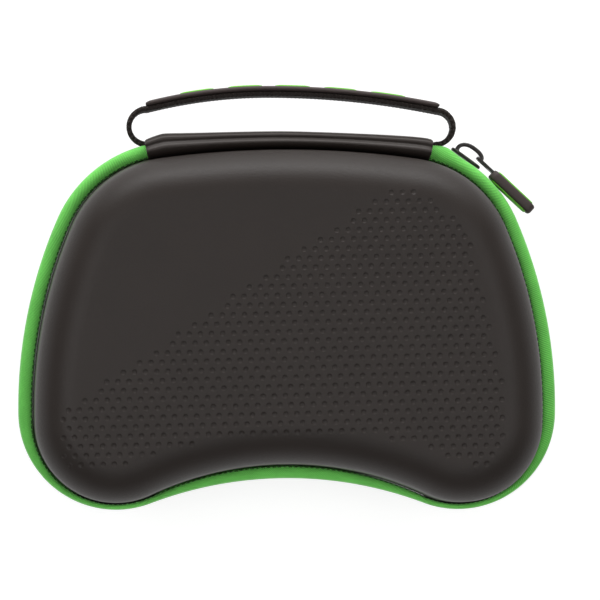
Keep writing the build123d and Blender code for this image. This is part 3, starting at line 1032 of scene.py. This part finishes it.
def coil(name, side, body, pitch, shift, replaces):
    """One half of the zipper's coil: a row of nylon loops, and the cord that they turn round."""
    distance = zipper_distances(pitch)[1:-1] + shift * pitch
    points, outward = plan_at(distance, even(TOOTH_INSET))
    places = np.column_stack([points, np.full(len(points), SEAM_Z + side * TOOTH_Z)])
    flat = np.zeros((len(points), 1))
    ways = np.column_stack([outward, flat])
    ups = np.column_stack([flat, flat, flat + 1.0])
    teeth = capsules(places, ways, ups, TOOTH_SIZE)

    def insets_of(inset, height):
        """The same inset at every height."""
        return even(inset)

    core, _ = ribbon(zipper_distances(CORE_STEP), round_loop(CORE_LOOP, 1), insets_of, 1.0, side)
    points, faces = joined([teeth, (core.reshape(-1, 3), tube_faces(*core.shape[:2]))])
    return new_piece(name, points, faces, body, "zipper_coil", replaces=replaces)


class CASE_OT_zipper(bpy.types.Operator):
    """Builds both halves of the zipper's tape, their stitches and their coils"""

    bl_idname = "case.zipper"
    bl_label = "Zipper"

    def execute(self, context):
        sizes = context.scene.case_zipper
        lift, tooth, stitch = sizes.rib / MM, sizes.tooth / MM, sizes.stitch / MM
        tape("base_band", -1, "base", lift, ["base_tape"])
        stitches("base_stitches", -1, "base", stitch)
        coil("base_teeth", -1, "base", tooth, 0.0, ["base_coil"])
        upper = [
            tape("lid_band", 1, None, lift, ["lid_tape", "lid_tape_end_left", "lid_tape_end_right"]),
            stitches("lid_stitches", 1, None, stitch),
            coil("lid_teeth", 1, None, tooth, 0.5, ["lid_coil", "lid_coil_end_left", "lid_coil_end_right"]),
        ]
        for piece in upper:
            follow_lid(piece)
        return {"FINISHED"}


def back_y(x):
    """The hinge cover's back, seen from above: a shallow arc that falls away at its ends."""
    return np.interp(x, *smooth(COVER_BACK).T)


def shell_y(x, height):
    """The shell's back wall at a height over the seam."""
    radius = TOP_R - BAND[1] - np.abs(height) * tan(DRAFT)
    return TOP_CENTRE[1] + np.sqrt(radius**2 - x**2)


def hinge_cover():
    """A folded sheet over the hinge: a line of (share, height), mirrored under the seam.

    It runs along x, pinched at both ends, and waves by a sine of x times a slower one.
    """
    half = smooth(COVER_LINE, 2)
    line = np.concatenate([(half * [1, -1])[:0:-1], half])
    depth = COVER_MID_Y - shell_y(0.0, COVER_WAVE_Z)
    flat = line * [depth, 1.0]
    ahead = np.gradient(flat, axis=0)
    inward = np.stack([ahead[:, 1], -ahead[:, 0]], 1) / np.hypot(*ahead.T)[:, None]
    under = flat + inward * COVER_T
    loop = np.concatenate([flat, under[::-1]])
    middle = (flat + under) / 2
    middle = np.concatenate([middle, middle[::-1]])
    off, narrow = np.array(COVER_ENDS).T
    plain = np.linspace(COVER_LEFT_X + COVER_PLAIN, COVER_RIGHT_X - COVER_PLAIN, COVER_STEPS)
    x = np.concatenate([COVER_LEFT_X + off, plain, COVER_RIGHT_X - off[::-1]])
    pinch = np.concatenate([narrow, np.ones(COVER_STEPS), narrow[::-1]])
    shaped = middle + (loop - middle) * pinch[:, None, None]
    share, height = shaped[..., 0] / depth, shaped[..., 1]
    fast, slow = COVER_WAVE_X
    wave = COVER_WAVE * (np.sin(x / fast + 1.0) * np.sin(x / slow))[:, None] * (np.abs(height) > COVER_WAVE_Z)
    back, wall = back_y(x)[:, None], shell_y(x[:, None], height)
    y = back - share * (back - wall + COVER_SINK)
    z = SEAM_Z + height + wave * np.sign(height)
    points = np.stack([x[:, None] * (1 - COVER_TAPER * share), y, z], -1)
    piece = tube_piece("hinge_cover", points, None, "cover_skin", replaces=["spine_cover"])
    over_hinge(piece)
    return piece


def over_hinge(piece):
    """Bakes the piece's placement into its points."""
    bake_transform(piece)


class CASE_OT_hinge_cover(bpy.types.Operator):
    """Builds the folded cover over the hinge"""

    bl_idname = "case.hinge_cover"
    bl_label = "Hinge cover"

    def execute(self, context):
        hinge_cover()
        return {"FINISHED"}


def arc_through(a, b, c, steps):
    """Points on the arc from a through b to c."""
    a, b, c = (np.array(p, float) for p in (a, b, c))
    d = 2 * (a[0] * (b[1] - c[1]) + b[0] * (c[1] - a[1]) + c[0] * (a[1] - b[1]))
    square = [p @ p for p in (a, b, c)]
    x = square[0] * (b[1] - c[1]) + square[1] * (c[1] - a[1]) + square[2] * (a[1] - b[1])
    y = square[0] * (c[0] - b[0]) + square[1] * (a[0] - c[0]) + square[2] * (b[0] - a[0])
    centre = np.array([x, y]) / d
    angles = [atan2(*(p - centre)[::-1]) for p in (a, b, c)]
    sweep = (angles[2] - angles[0]) % (2 * pi)
    if (angles[1] - angles[0]) % (2 * pi) > sweep:
        sweep -= 2 * pi
    turn = angles[0] + np.linspace(0, sweep, steps)
    return centre + hypot(*(a - centre)) * np.stack([np.cos(turn), np.sin(turn)], 1)


def arch_line(out=0.0):
    """The handle's arch from left to right, as its two arcs, moved outwards."""
    left_turn = asin((APEX[0] - GRIP_LEFT_X) / ARCH_LEFT_R)
    right_turn = asin((GRIP_RIGHT_X - APEX[0]) / ARCH_RIGHT_R)
    a = np.linspace(left_turn, 0, ARCH_STEPS[0], endpoint=False)
    b = np.linspace(0, right_turn, ARCH_STEPS[1])
    left = np.stack([-np.sin(a), np.cos(a)], 1) * (ARCH_LEFT_R + out) + [APEX[0], APEX[1] - ARCH_LEFT_R]
    right = np.stack([np.sin(b), np.cos(b)], 1) * (ARCH_RIGHT_R + out) + [APEX[0], APEX[1] - ARCH_RIGHT_R]
    return np.concatenate([left, right])


def webbing_line():
    """The webbing's middle, from under the cover's left end round the arch to its right end."""
    arch = arch_line()
    left = arc_through(ROOT_LEFT, LOOP_LEFT, arch[0], LOOP_STEPS)
    right = arc_through(arch[-1], LOOP_RIGHT, ROOT_RIGHT, LOOP_STEPS)
    first = np.array(ROOT_LEFT) + [ROOT_RUN, -ROOT_DROP]
    last = np.array(ROOT_RIGHT) + [-ROOT_RUN, -ROOT_DROP]
    return np.concatenate([[first], left, arch[1:-1], right, [last]])


def resample(line, step):
    """A line's points at even distances, the distances, and its left-hand normals."""
    at = lengths(line)
    distance = np.linspace(0, at[-1], int(at[-1] / step))
    points = between(distance, at, line)
    ahead = np.gradient(points, axis=0)
    ahead /= np.hypot(*ahead.T)[:, None]
    return points, distance, np.stack([-ahead[:, 1], ahead[:, 0]], 1)


def strap(line, step, section, thickness, half, weave=None):
    """A flat strip along a line: section points (out, across) in shares of its half sizes.

    thickness and half are numbers or change along the line; weave(along, out, across, size)
    moves points outwards.
    """
    points, distance, out = resample(line, step)
    halves, thick = (
        size(points) if callable(size) else np.full(len(points), size) for size in (half, thickness)
    )
    share_out, share_over = section[:, 0], section[:, 1]
    off = share_out * thick[:, None] / 2
    over = share_over * halves[:, None]
    if weave:
        lift_out, lift_over = weave(distance[:, None], share_out, over, halves[:, None])
        off, over = off + lift_out, over + lift_over
    xy = points[:, None] + out[:, None] * off[..., None]
    grid = np.concatenate([xy, (SEAM_Z + over)[..., None]], -1)
    across = lengths(closed(section * [thick.max() / 2, halves.max()]))[:-1]
    uv = np.stack(np.meshgrid(distance, across, indexing="ij"), -1)
    return grid, uv


def flat_section(columns, edge):
    """A closed section with rounded edges: (out, across) from -1 to 1, with columns per face."""
    face = np.linspace(-1 + edge, 1 - edge, columns)
    turn = np.linspace(-pi / 2, pi / 2, 6)[1:-1]
    cap_end = np.stack([-np.sin(turn), 1 - edge + edge * np.cos(turn)], 1)
    top = np.stack([np.ones(columns), face], 1)
    bottom = np.stack([-np.ones(columns), face[::-1]], 1)
    return np.concatenate([top, cap_end, bottom, cap_end * [-1, -1]])


def arch_share(points):
    """1 on the handle's arch and 0 on its end loops."""
    left = (points[:, 0] - GRIP_LEFT_X + LOOP_EASE) / LOOP_EASE
    right = (GRIP_RIGHT_X + LOOP_EASE - points[:, 0]) / LOOP_EASE
    share = np.clip(np.minimum(left, right), 0, 1) * (points[:, 1] > TAPER_HIGH_Y)
    return share * share * (3 - 2 * share)


def webbing_half(points):
    """Half the webbing's width: full on the arch, less on the loops and least at the roots."""
    share = np.clip((points[:, 1] - TAPER_LOW_Y) / (TAPER_HIGH_Y - TAPER_LOW_Y), 0, 1)
    low = WEBBING_ROOT_HALF + (LOOP_HALF - WEBBING_ROOT_HALF) * share
    return low + (WEBBING_HALF - low) * arch_share(points)


def woven(along, out, over, half):
    """Yarns of a flat weave: rows across the strap, each moved half a pitch along, and edge loops."""
    row = np.cos(over * (2 * pi / WEAVE_ROW))
    yarn = np.cos(along * (2 * pi / WEAVE_PITCH) + np.sign(np.sin(over * (pi / WEAVE_ROW))) * pi / 2)
    edge = np.clip((np.abs(over) / half - EDGE_FROM) / (1 - EDGE_FROM), 0, 1)
    loop = along * (2 * pi / EDGE_YARN)
    lift_out = out * (YARN_LIFT * row * yarn * (1 - edge) + EDGE_LIFT * edge * np.sin(loop))
    lift_over = np.sign(over) * edge * EDGE_SWING * np.sin(loop + 0.6)
    return lift_out, lift_over


def rounded_ends(grid, reach, rows=4):
    """A grid whose last rows draw in towards their middles, so that its ends are rounded."""
    grid = grid.copy()
    for i in range(rows):
        share = 1 - (1 - i / rows) ** 2 * reach
        for row in (i, -1 - i):
            middle = grid[row].mean(0)
            grid[row] = middle + (grid[row] - middle) * [share, share, 1 - (1 - share) * 0.15]
    return grid


class CASE_OT_handle(bpy.types.Operator):
    """Builds the handle's webbing, the grip over it and the grip's raised bars"""

    bl_idname = "case.handle"
    bl_label = "Handle"

    def execute(self, context):
        sizes = context.scene.case_handle
        webbing_t, grip_t = sizes.webbing / MM, sizes.grip / MM
        section = flat_section(17, 0.12)

        def thick(points):
            """The webbing's thickness: thinner where it bends sharply."""
            return webbing_t * (LOOP_THIN + (1 - LOOP_THIN) * arch_share(points))

        grid, uv = strap(webbing_line(), STRAP_STEP, section, thick, webbing_half, woven)
        tube_piece("handle_strap", grid, "handle", "webbing", uv=uv, replaces=["handle_webbing"])
        line = arch_line(webbing_t / 2 + grip_t / 2 - GRIP_SINK)
        grid, uv = strap(line, PAD_STEP, flat_section(9, 0.1), grip_t, GRIP_HALF)
        grid = rounded_ends(grid, 0.5)
        tube_piece("handle_pad", grid, "handle", "grip_rubber", uv=uv, replaces=["handle_grip"])
        line = arch_line(webbing_t / 2 + grip_t + BAR_T / 2 - BAR_SINK)
        bars = []
        for i in range(BAR_COUNT):
            middle = BAR_MID_X + (i - (BAR_COUNT - 1) / 2) * BAR_PITCH
            stretch = line[np.abs(line[:, 0] - middle) <= BAR_LENGTH / 2]
            grid, _ = strap(stretch, PAD_STEP, flat_section(5, 0.16), BAR_T, BAR_HALF)
            bars.append((rounded_ends(grid, 0.6).reshape(-1, 3), tube_faces(*grid.shape[:2])))
        new_piece("handle_marks", *joined(bars), "handle", "green_rubber", replaces=["handle_bars"])
        return {"FINISHED"}


def plate(outline, low, high, bevel):
    """A flat plate over an outline, its edges rounded where it is drawn in at both faces."""
    middle = (outline.max(0) + outline.min(0)) / 2
    reach = np.abs(outline - middle).max(0)
    rows = [(low, 1.0), (low + 0.3 * bevel, 0.3), (low + bevel, 0.0)]
    rows += [(high - bevel, 0.0), (high - 0.3 * bevel, 0.3), (high, 1.0)]
    grid = [middle + (outline - middle) * (1 - bevel * inset / reach) for _, inset in rows]
    grid = [np.column_stack([loop, np.full(len(loop), off)]) for loop, (off, _) in zip(grid, rows)]
    return np.concatenate(grid), tube_faces(len(rows), len(outline))


def rounded_box(left, right, half, radius, steps=6):
    """A rectangle's outline with round corners: (along, height)."""
    turn = np.linspace(0, pi / 2, steps)
    corners = ((right - radius, half - radius), (left + radius, half - radius))
    corners += ((left + radius, radius - half), (right - radius, radius - half))
    arcs = []
    for k, corner in enumerate(corners):
        a = turn + k * pi / 2
        arcs.append(np.array(corner) + radius * np.stack([np.cos(a), np.sin(a)], 1))
    return np.concatenate(arcs)


def stood(points, origin, angle):
    """Points given as (along, height, out) set up at a place on the seam's plane.

    along runs at the angle, and out a quarter turn further.
    """
    ahead = np.array([cos(angle), sin(angle)])
    out = np.array([-sin(angle), cos(angle)])
    xy = origin + points[:, :1] * ahead + points[:, 2:] * out
    return np.column_stack([xy, SEAM_Z + points[:, 1]])


class CASE_OT_slider(bpy.types.Operator):
    """Builds the zipper's slider: two plates with lips, the post between them and the bridge"""

    bl_idname = "case.slider"
    bl_label = "Slider"

    def execute(self, context):
        out = np.array([cos(SLIDER_ANGLE), sin(SLIDER_ANGLE)])
        origin = CORNER + out * CORNER_R
        half, nose, tail = SLIDER_HALF, SLIDER_NOSE, SLIDER_TAIL
        plan_of = [(-half, -nose), (-half, nose), (0, nose), (half, tail), (half, -tail), (0, -nose)]
        outline = round_loop(np.array(plan_of), 3)[::-1]
        lip = rounded_box(-half + LIP_ENDS[0], half - LIP_ENDS[1], LIP_HALF, LIP_ROUND, 3)
        outer, its_faces = plate(outline, *SLIDER_PLATE, SLIDER_BEVEL)
        outer[:, 2] -= SLIDER_TILT * outer[:, 0]
        parts = [(outer, its_faces), plate(outline, *SLIDER_INNER, SLIDER_BEVEL)]
        for way in (-1, 1):
            parts.append(plate(lip + [0, way * (tail - LIP_ROUND)], *SLIDER_LIP, LIP_BEVEL))
        parts.append(plate(rounded_box(*POST_BOX), *SLIDER_POST, POST_BEVEL))
        placed = [(stood(p, origin, SLIDER_ANGLE - pi / 2), f) for p, f in parts]
        line = smooth(BRIDGE_LINE, 2)
        grid, _ = strap(line, BRIDGE_STEP, flat_section(5, 0.4), BRIDGE_T, BRIDGE_HALF)
        placed.append((rounded_ends(grid, 0.5).reshape(-1, 3), tube_faces(*grid.shape[:2])))
        new_piece("slider_cast", *joined(placed), "slider", "slider_metal", replaces=["slider_body"])
        return {"FINISHED"}


class CASE_OT_puller(bpy.types.Operator):
    """Builds the puller: the link through the bridge, the rubber grip and its two coloured faces"""

    bl_idname = "case.puller"
    bl_label = "Puller"

    def execute(self, context):
        sizes = context.scene.case_puller
        thick, end = sizes.thickness / MM, PULLER_FROM + sizes.length / MM
        eye, rim = rounded_box(*LINK_EYE, 0.5), rounded_box(*LINK_RIM, 0.9)
        section = np.array(LINK_SECTION)
        flat = eye[:, None] + (rim - eye)[:, None] * section[:, :1]
        off = np.broadcast_to(section[:, 1] * LINK_T / 2, flat.shape[:2])
        ring = np.concatenate([flat, off[..., None]], -1)
        faces = grid_faces(*ring.shape[:2], wrap_rows=True, wrap_columns=True)
        points = stood(ring.reshape(-1, 3), PIVOT, PULLER_ANGLE)
        new_piece("link", points, faces, "puller", "slider_metal", replaces=["puller_link"])
        outline = rounded_box(PULLER_FROM, end, PULLER_HALF, PULLER_HALF / 2)
        middle = PULLER_SET
        points, faces = plate(outline, middle - thick / 2, middle + thick / 2, PULLER_BEVEL)
        points = stood(points, PIVOT, PULLER_ANGLE)
        new_piece("puller_pad", points, faces, "puller", "grip_rubber", replaces=["puller_grip"])
        margin = PULLER_FACE_MARGIN
        outline = rounded_box(PULLER_FROM + margin, end - margin, PULLER_FACE_HALF, PULLER_FACE_HALF / 2)
        parts = []
        for way in (-1, 1):
            low, high = sorted(way * (thick / 2 + out) for out in (-PULLER_FACE_SINK, PULLER_FACE_OUT))
            parts.append(plate(outline, middle + low, middle + high, PULLER_FACE_BEVEL))
        points, faces = joined(parts)
        points = stood(points, PIVOT, PULLER_ANGLE)
        both = ["puller_face_outer", "puller_face_inner"]
        new_piece("puller_panels", points, faces, "puller", "green_rubber", replaces=both)
        return {"FINISHED"}


def wall_insets(place, height):
    """Insets of a place so far inside the shell's inner wall, at a height over the seam."""
    return BAND + even(WALL + WALL_GAP + height * tan(DRAFT) + place)


def ribbed_band(name, side, body, distance, section, replaces):
    """A cloth band along the inner wall, with fine ribs across it."""

    def ribs(along, across, place, height):
        """A sine along the band, on the side that shows."""
        return BINDING_LIFT * np.sin(along * (2 * pi / BINDING_RIB)) * (place > BINDING_HIDDEN)

    grid, uv = ribbon(distance, section, wall_insets, 1.0, side, ribs)
    return tube_piece(name, grid, body, "lining", uv=uv, replaces=replaces)


def binding(name, side, body, replaces):
    """The cloth tape sewn over a shell's rim, inside."""
    t, low, high = BINDING_T, BINDING_FROM, BINDING_TO
    section = [(0, low + 0.2), (0.3 * t, low), (t, low + 0.4), (t, (low + high) / 2)]
    section += [(t, high - 0.4), (0.3 * t, high), (0, high - 0.2)]
    return ribbed_band(name, side, body, zipper_distances(BINDING_STEP), np.array(section), replaces)


def hinge_lining():
    """A strip of cloth over the hinge, inside: an arc of the plan, run up and down the wall.

    y = c + sqrt((R - inset)^2 - x^2), with small upright creases where it folds.
    """
    x = np.linspace(-HINGE_LINING_X, HINGE_LINING_X, HINGE_LINING_STEPS)[:, None]
    z = np.linspace(-HINGE_LINING_Z, HINGE_LINING_Z, HINGE_LINING_ROWS)
    off = np.repeat([HINGE_LINING_T, 0.0], HINGE_LINING_ROWS)
    height = np.concatenate([z, z[::-1]])
    wave, reach = HINGE_CREASE
    crease = HINGE_CREASE_T * np.sin(x / wave) * np.exp(-((height / reach) ** 2)) * (off > 0)
    inset = BAND[1] + WALL + WALL_GAP + np.abs(height) * tan(DRAFT) + off + crease
    y = TOP_CENTRE[1] + np.sqrt((TOP_R - inset) ** 2 - x**2)
    points = np.stack(np.broadcast_arrays(x, y, SEAM_Z + height), -1)
    piece = tube_piece("hinge_cloth", points, None, "lining", replaces=["hinge_lining"])
    over_hinge(piece)
    return piece


def pocket_outline():
    """The inner wall's plan at the pocket's height."""
    return plan(wall_insets(0.0, POCKET_Z))[0]


def net_mesh(cell, strand):
    """A flat net of six-sided cells: rings between each cell's corners and its hole.

    A cell's corners lie at cell / sqrt(3) from its centre, and its hole's at less by
    strand / sqrt(3). Walls close the holes and the outermost cells' outer sides.
    """
    outline = pocket_outline()
    low, high = outline.min(0), outline.max(0)
    centres = staggered(low[0], high[0], low[1], POCKET_TOP_Y + HEM_WIDE / 2, cell, cell * sqrt(3) / 2)
    centres = centres[is_inside(centres, outline)]
    centres = centres[inside_distance(centres, outline) > NET_MARGIN]
    n = NET_SIDES
    turn = (np.arange(n) * 2 + 1) * (pi / n)
    star = np.stack([np.cos(turn), np.sin(turn)], 1)
    corner = centres[:, None] + star * (cell / sqrt(3))
    hole = centres[:, None] + star * ((cell - strand) / sqrt(3))
    rows = []
    for loop, off in ((corner, 0.5), (hole, 0.5), (hole, -0.5), (corner, -0.5)):
        rows.append(np.concatenate([loop, np.full((*loop.shape[:2], 1), POCKET_Z + off * NET_T)], -1))
    points = np.stack(rows, 1).reshape(-1, 3)
    ring = grid_faces(4, n, wrap_columns=True)
    faces = (ring + (np.arange(len(centres)) * 4 * n)[:, None, None]).reshape(-1, 4)
    middle = ((corner + np.roll(corner, -1, axis=1)) / 2).reshape(-1, 2)
    _, index, count = np.unique(middle.round(2), axis=0, return_inverse=True, return_counts=True)
    cells, sides = np.divmod(np.where(count[index.ravel()] == 1)[0], n)
    after = (sides + 1) % n
    start = cells * 4 * n
    under = start + 3 * n
    outer = np.stack([start + sides, start + after, under + after, under + sides], 1)
    points[:, 2] = SEAM_Z + points[:, 2]
    return points, np.concatenate([faces, outer])


def pocket_net(cell, strand):
    """The lid's pocket: a net stretched between the rim's band and the hem."""
    points, faces = net_mesh(cell, strand)
    piece = new_piece("pocket_net", points, faces, "lid", "net", smooth=False, replaces=["mesh_pocket"])
    size = points[:, :2].max(0) - points[:, :2].min(0)
    area = sum(face.area for face in piece.data.polygons) / 2
    return piece, size * MM, area


def pocket_rim():
    """The band that holds the net along the inner wall: an angle of cloth."""
    outer, _ = plan()
    at = PLAN_AT[:-1][outer[:, 1] <= POCKET_TOP_Y]
    distance = np.linspace(at[0], at[-1], int((at[-1] - at[0]) / RIM_STEP))
    low, t = POCKET_Z - RIM_UNDER, BINDING_T
    section = [(0, low), (RIM_WIDE - 0.3, low), (RIM_WIDE, low + 0.3), (RIM_WIDE, low + 0.8)]
    section += [(t + 0.2, low + 1.0), (t, low + 1.4), (t, RIM_TO - 0.3), (0.3 * t, RIM_TO), (0, RIM_TO - 0.3)]
    return ribbed_band("pocket_rim", 1, "lid", distance, np.array(section), ["pocket_binding"])


def pocket_hem():
    """The pocket's elastic mouth: a folded band from wall to wall, ribbed and a little wavy.

    Its section is a rounded box; each point's x is its share of the wall's x at that y.
    """
    outline = pocket_outline()
    half = len(outline) // 2
    right = outline[:half]
    section = rounded_box(POCKET_TOP_Y, POCKET_TOP_Y + HEM_WIDE, HEM_T / 2, 0.6, 4)
    order = np.argsort(right[:, 1])
    wall = np.interp(section[:, 0], right[order, 1], right[order, 0])
    share = np.linspace(-1, 1, HEM_STEPS)[:, None]
    x = share * wall
    rib = HEM_LIFT * np.sin(x * (2 * pi / HEM_RIB)) * np.sign(section[:, 1])
    fast, slow = HEM_WAVE_X
    gather = HEM_WAVE * np.sin(x / fast) * np.sin(x / slow + 0.7)
    y = section[:, 0] + gather
    z = SEAM_Z + POCKET_Z + section[:, 1] + rib
    points = np.stack([x, y, z], -1)
    return tube_piece("pocket_mouth", points, "lid", "elastic", replaces=["pocket_hem"])


class CASE_OT_inside(bpy.types.Operator):
    """Builds the bindings at the rims, the lining over the hinge and the lid's net pocket"""

    bl_idname = "case.inside"
    bl_label = "Inside"

    def execute(self, context):
        sizes = context.scene.case_inside
        binding("base_rim_tape", -1, "base", ["base_binding"])
        binding("lid_rim_tape", 1, "lid", ["lid_binding"])
        hinge_lining()
        net, flat, area = pocket_net(sizes.cell / MM, sizes.strand / MM)
        edges = [pocket_rim(), pocket_hem()]
        return {"FINISHED"}


def look(piece, target, place):
    """Places a lamp and turns it to face a point, in metres."""
    piece.location = place
    piece.rotation_euler = (Vector(target) - Vector(place)).to_track_quat("-Z", "Y").to_euler()


def lamp(name, place, target, size, power):
    """A white area lamp."""
    data = bpy.data.lights.new(name, "AREA")
    data.shape = "RECTANGLE"
    data.size, data.size_y = size
    data.energy = power
    piece = linked(name, data)
    look(piece, target, place)


class CASE_OT_stage(bpy.types.Operator):
    """Sets the white table, the lamps and the camera straight above"""

    bl_idname = "case.stage"
    bl_label = "Stage"

    def execute(self, context):
        scene = context.scene
        camera = linked("camera", bpy.data.cameras.new("camera"))
        scene.camera = camera
        target = (LOOK_AT[0] * MM, LOOK_AT[1] * MM, SEAM_Z * MM)
        height = scene.case_stage.height
        camera.location = (target[0] + CAMERA_SIDE, target[1], SEAM_Z * MM + height)
        camera.data.lens = SENSOR_W * height / FRAME_W
        camera.rotation_euler = (0.0, atan2(CAMERA_SIDE, height), 0.0)
        camera.data.clip_start = CLIP_START
        scene.view_settings.view_transform = "Standard"
        floor_mesh = bpy.data.meshes.new("floor")
        h = FLOOR_HALF
        floor_mesh.from_pydata([(-h, -h, 0), (h, -h, 0), (h, h, 0), (-h, h, 0)], [], [(0, 1, 2, 3)])
        floor = linked("floor", floor_mesh)
        floor.location.z = -FLOOR_GAP
        floor_mesh.materials.append(floor_material())
        world = bpy.data.worlds.new("studio")
        world.use_nodes = True
        scene.world = world
        background = world.node_tree.nodes["Background"]
        background.inputs["Color"].default_value = (1.0, 1.0, 1.0, 1.0)
        seen = world.node_tree.nodes.new("ShaderNodeLightPath")
        level = world.node_tree.nodes.new("ShaderNodeMapRange")
        level.inputs["To Min"].default_value = WORLD_LIGHT
        world.node_tree.links.new(seen.outputs["Is Camera Ray"], level.inputs["Value"])
        world.node_tree.links.new(level.outputs["Result"], background.inputs["Strength"])
        for name, place, size, power in LAMPS:
            lamp(name, place, target, size, power * scene.case_stage.light)
        return {"FINISHED"}


def floor_material():
    """A white table, lit enough by itself that the camera sees it as pure white."""
    n = Nodes("floor")
    n.set(Base_Color=rgba([FLOOR_GREY] * 3), Roughness=0.9, Specular_IOR_Level=0.1)
    n.set(Emission_Color=rgba([1.0] * 3), Emission_Strength=FLOOR_GLOW)
    return n.material


def length_of(name, description, value):
    """A length that a user can change: given in millimetres, kept in metres."""
    return FloatProperty(
        name=name, description=description, default=value * MM, min=0.0, unit="LENGTH", precision=5
    )


def colour_of(name, description, value):
    """A colour that a user can change."""
    return FloatVectorProperty(
        name=name, description=description, default=linear(*value), min=0.0, max=1.0, size=3, subtype="COLOR"
    )


class CASE_PG_colours(bpy.types.PropertyGroup):
    skin: colour_of("Skin", "The shells' moulded skin", (35, 29, 26))
    cover: colour_of("Cover", "The soft cover over the hinge", (46, 40, 37))
    tape: colour_of("Tape", "The zipper's woven tape", (107, 202, 87))
    lining: colour_of("Lining", "The cloth inside", (36, 36, 38))
    webbing: colour_of("Webbing", "The handle's webbing", (42, 34, 31))
    grip: colour_of("Grip", "The handle's and the puller's dark rubber", (58, 48, 46))
    accent: colour_of("Accent", "The coloured rubber on both grips", (112, 200, 50))


class CASE_PG_shell(bpy.types.PropertyGroup):
    skin: length_of("Skin", "Thickness of the skin's layer", SKIN_T)
    crown: length_of("Crown", "How far the lid's face swells", CROWN)
    dimple: length_of("Dimples", "How deep the lid's dimples are", DIMPLE_DEPTH)


class CASE_PG_zipper(bpy.types.PropertyGroup):
    rib: length_of("Ribs", "Height of the tape's ribs", TAPE_LIFT)
    tooth: length_of("Teeth", "Distance between the coil's teeth", TOOTH_PITCH)
    stitch: length_of("Stitches", "Distance between stitches", STITCH_PITCH)


class CASE_PG_handle(bpy.types.PropertyGroup):
    webbing: length_of("Webbing", "Thickness of the webbing", WEBBING_T)
    grip: length_of("Grip", "Thickness of the grip over the webbing", GRIP_T)


class CASE_PG_puller(bpy.types.PropertyGroup):
    thickness: length_of("Thickness", "Thickness of the rubber grip", PULLER_T)
    length: length_of("Length", "Length of the rubber grip", PULLER_TO - PULLER_FROM)


class CASE_PG_inside(bpy.types.PropertyGroup):
    cell: length_of("Net cell", "Distance between the net's holes", NET_CELL)
    strand: length_of("Net strand", "Width of the net's strands", NET_STRAND)


class CASE_PG_stage(bpy.types.PropertyGroup):
    height: length_of("Camera", "Height of the camera over the seam", CAMERA_H / MM)
    light: FloatProperty(
        name="Light", description="Level of all the lamps", default=1.0, min=0.0, subtype="FACTOR"
    )


class CASE_PT_panel(bpy.types.Panel):
    """Buttons that build each part of the case"""

    bl_label = "Case"
    bl_idname = "CASE_PT_panel"
    bl_space_type = "VIEW_3D"
    bl_region_type = "UI"
    bl_category = "Case"

    def draw(self, context):
        for operator in OPERATORS:
            self.layout.operator(operator.bl_idname)


OPERATORS = (
    CASE_OT_lid_shell, CASE_OT_base_shell, CASE_OT_zipper, CASE_OT_hinge_cover, CASE_OT_handle,
    CASE_OT_slider, CASE_OT_puller, CASE_OT_inside, CASE_OT_stage,
)
GROUPS = {
    "case_colours": CASE_PG_colours,
    "case_shell": CASE_PG_shell,
    "case_zipper": CASE_PG_zipper,
    "case_handle": CASE_PG_handle,
    "case_puller": CASE_PG_puller,
    "case_inside": CASE_PG_inside,
    "case_stage": CASE_PG_stage,
}


def register():
    for item in (*GROUPS.values(), *OPERATORS, CASE_PT_panel):
        bpy.utils.register_class(item)
    for name, group in GROUPS.items():
        setattr(bpy.types.Scene, name, PointerProperty(type=group))


def unregister():
    for name in GROUPS:
        delattr(bpy.types.Scene, name)
    for item in reversed((*GROUPS.values(), *OPERATORS, CASE_PT_panel)):
        bpy.utils.unregister_class(item)


def main():
    register()
    dress = {part["node"]: part["material_slot"] for part in frame["record"]["subparts"]}
    for node, slot in dress.items():
        mesh = frame["nodes"][node].data
        mesh.materials.clear()
        mesh.materials.append(material(slot))
    bpy.ops.case.lid_shell()
    bpy.ops.case.base_shell()
    bpy.ops.case.zipper()
    bpy.ops.case.hinge_cover()
    bpy.ops.case.handle()
    bpy.ops.case.slider()
    bpy.ops.case.puller()
    bpy.ops.case.inside()
    bpy.ops.case.stage()


if __name__ == "__main__":
    main()
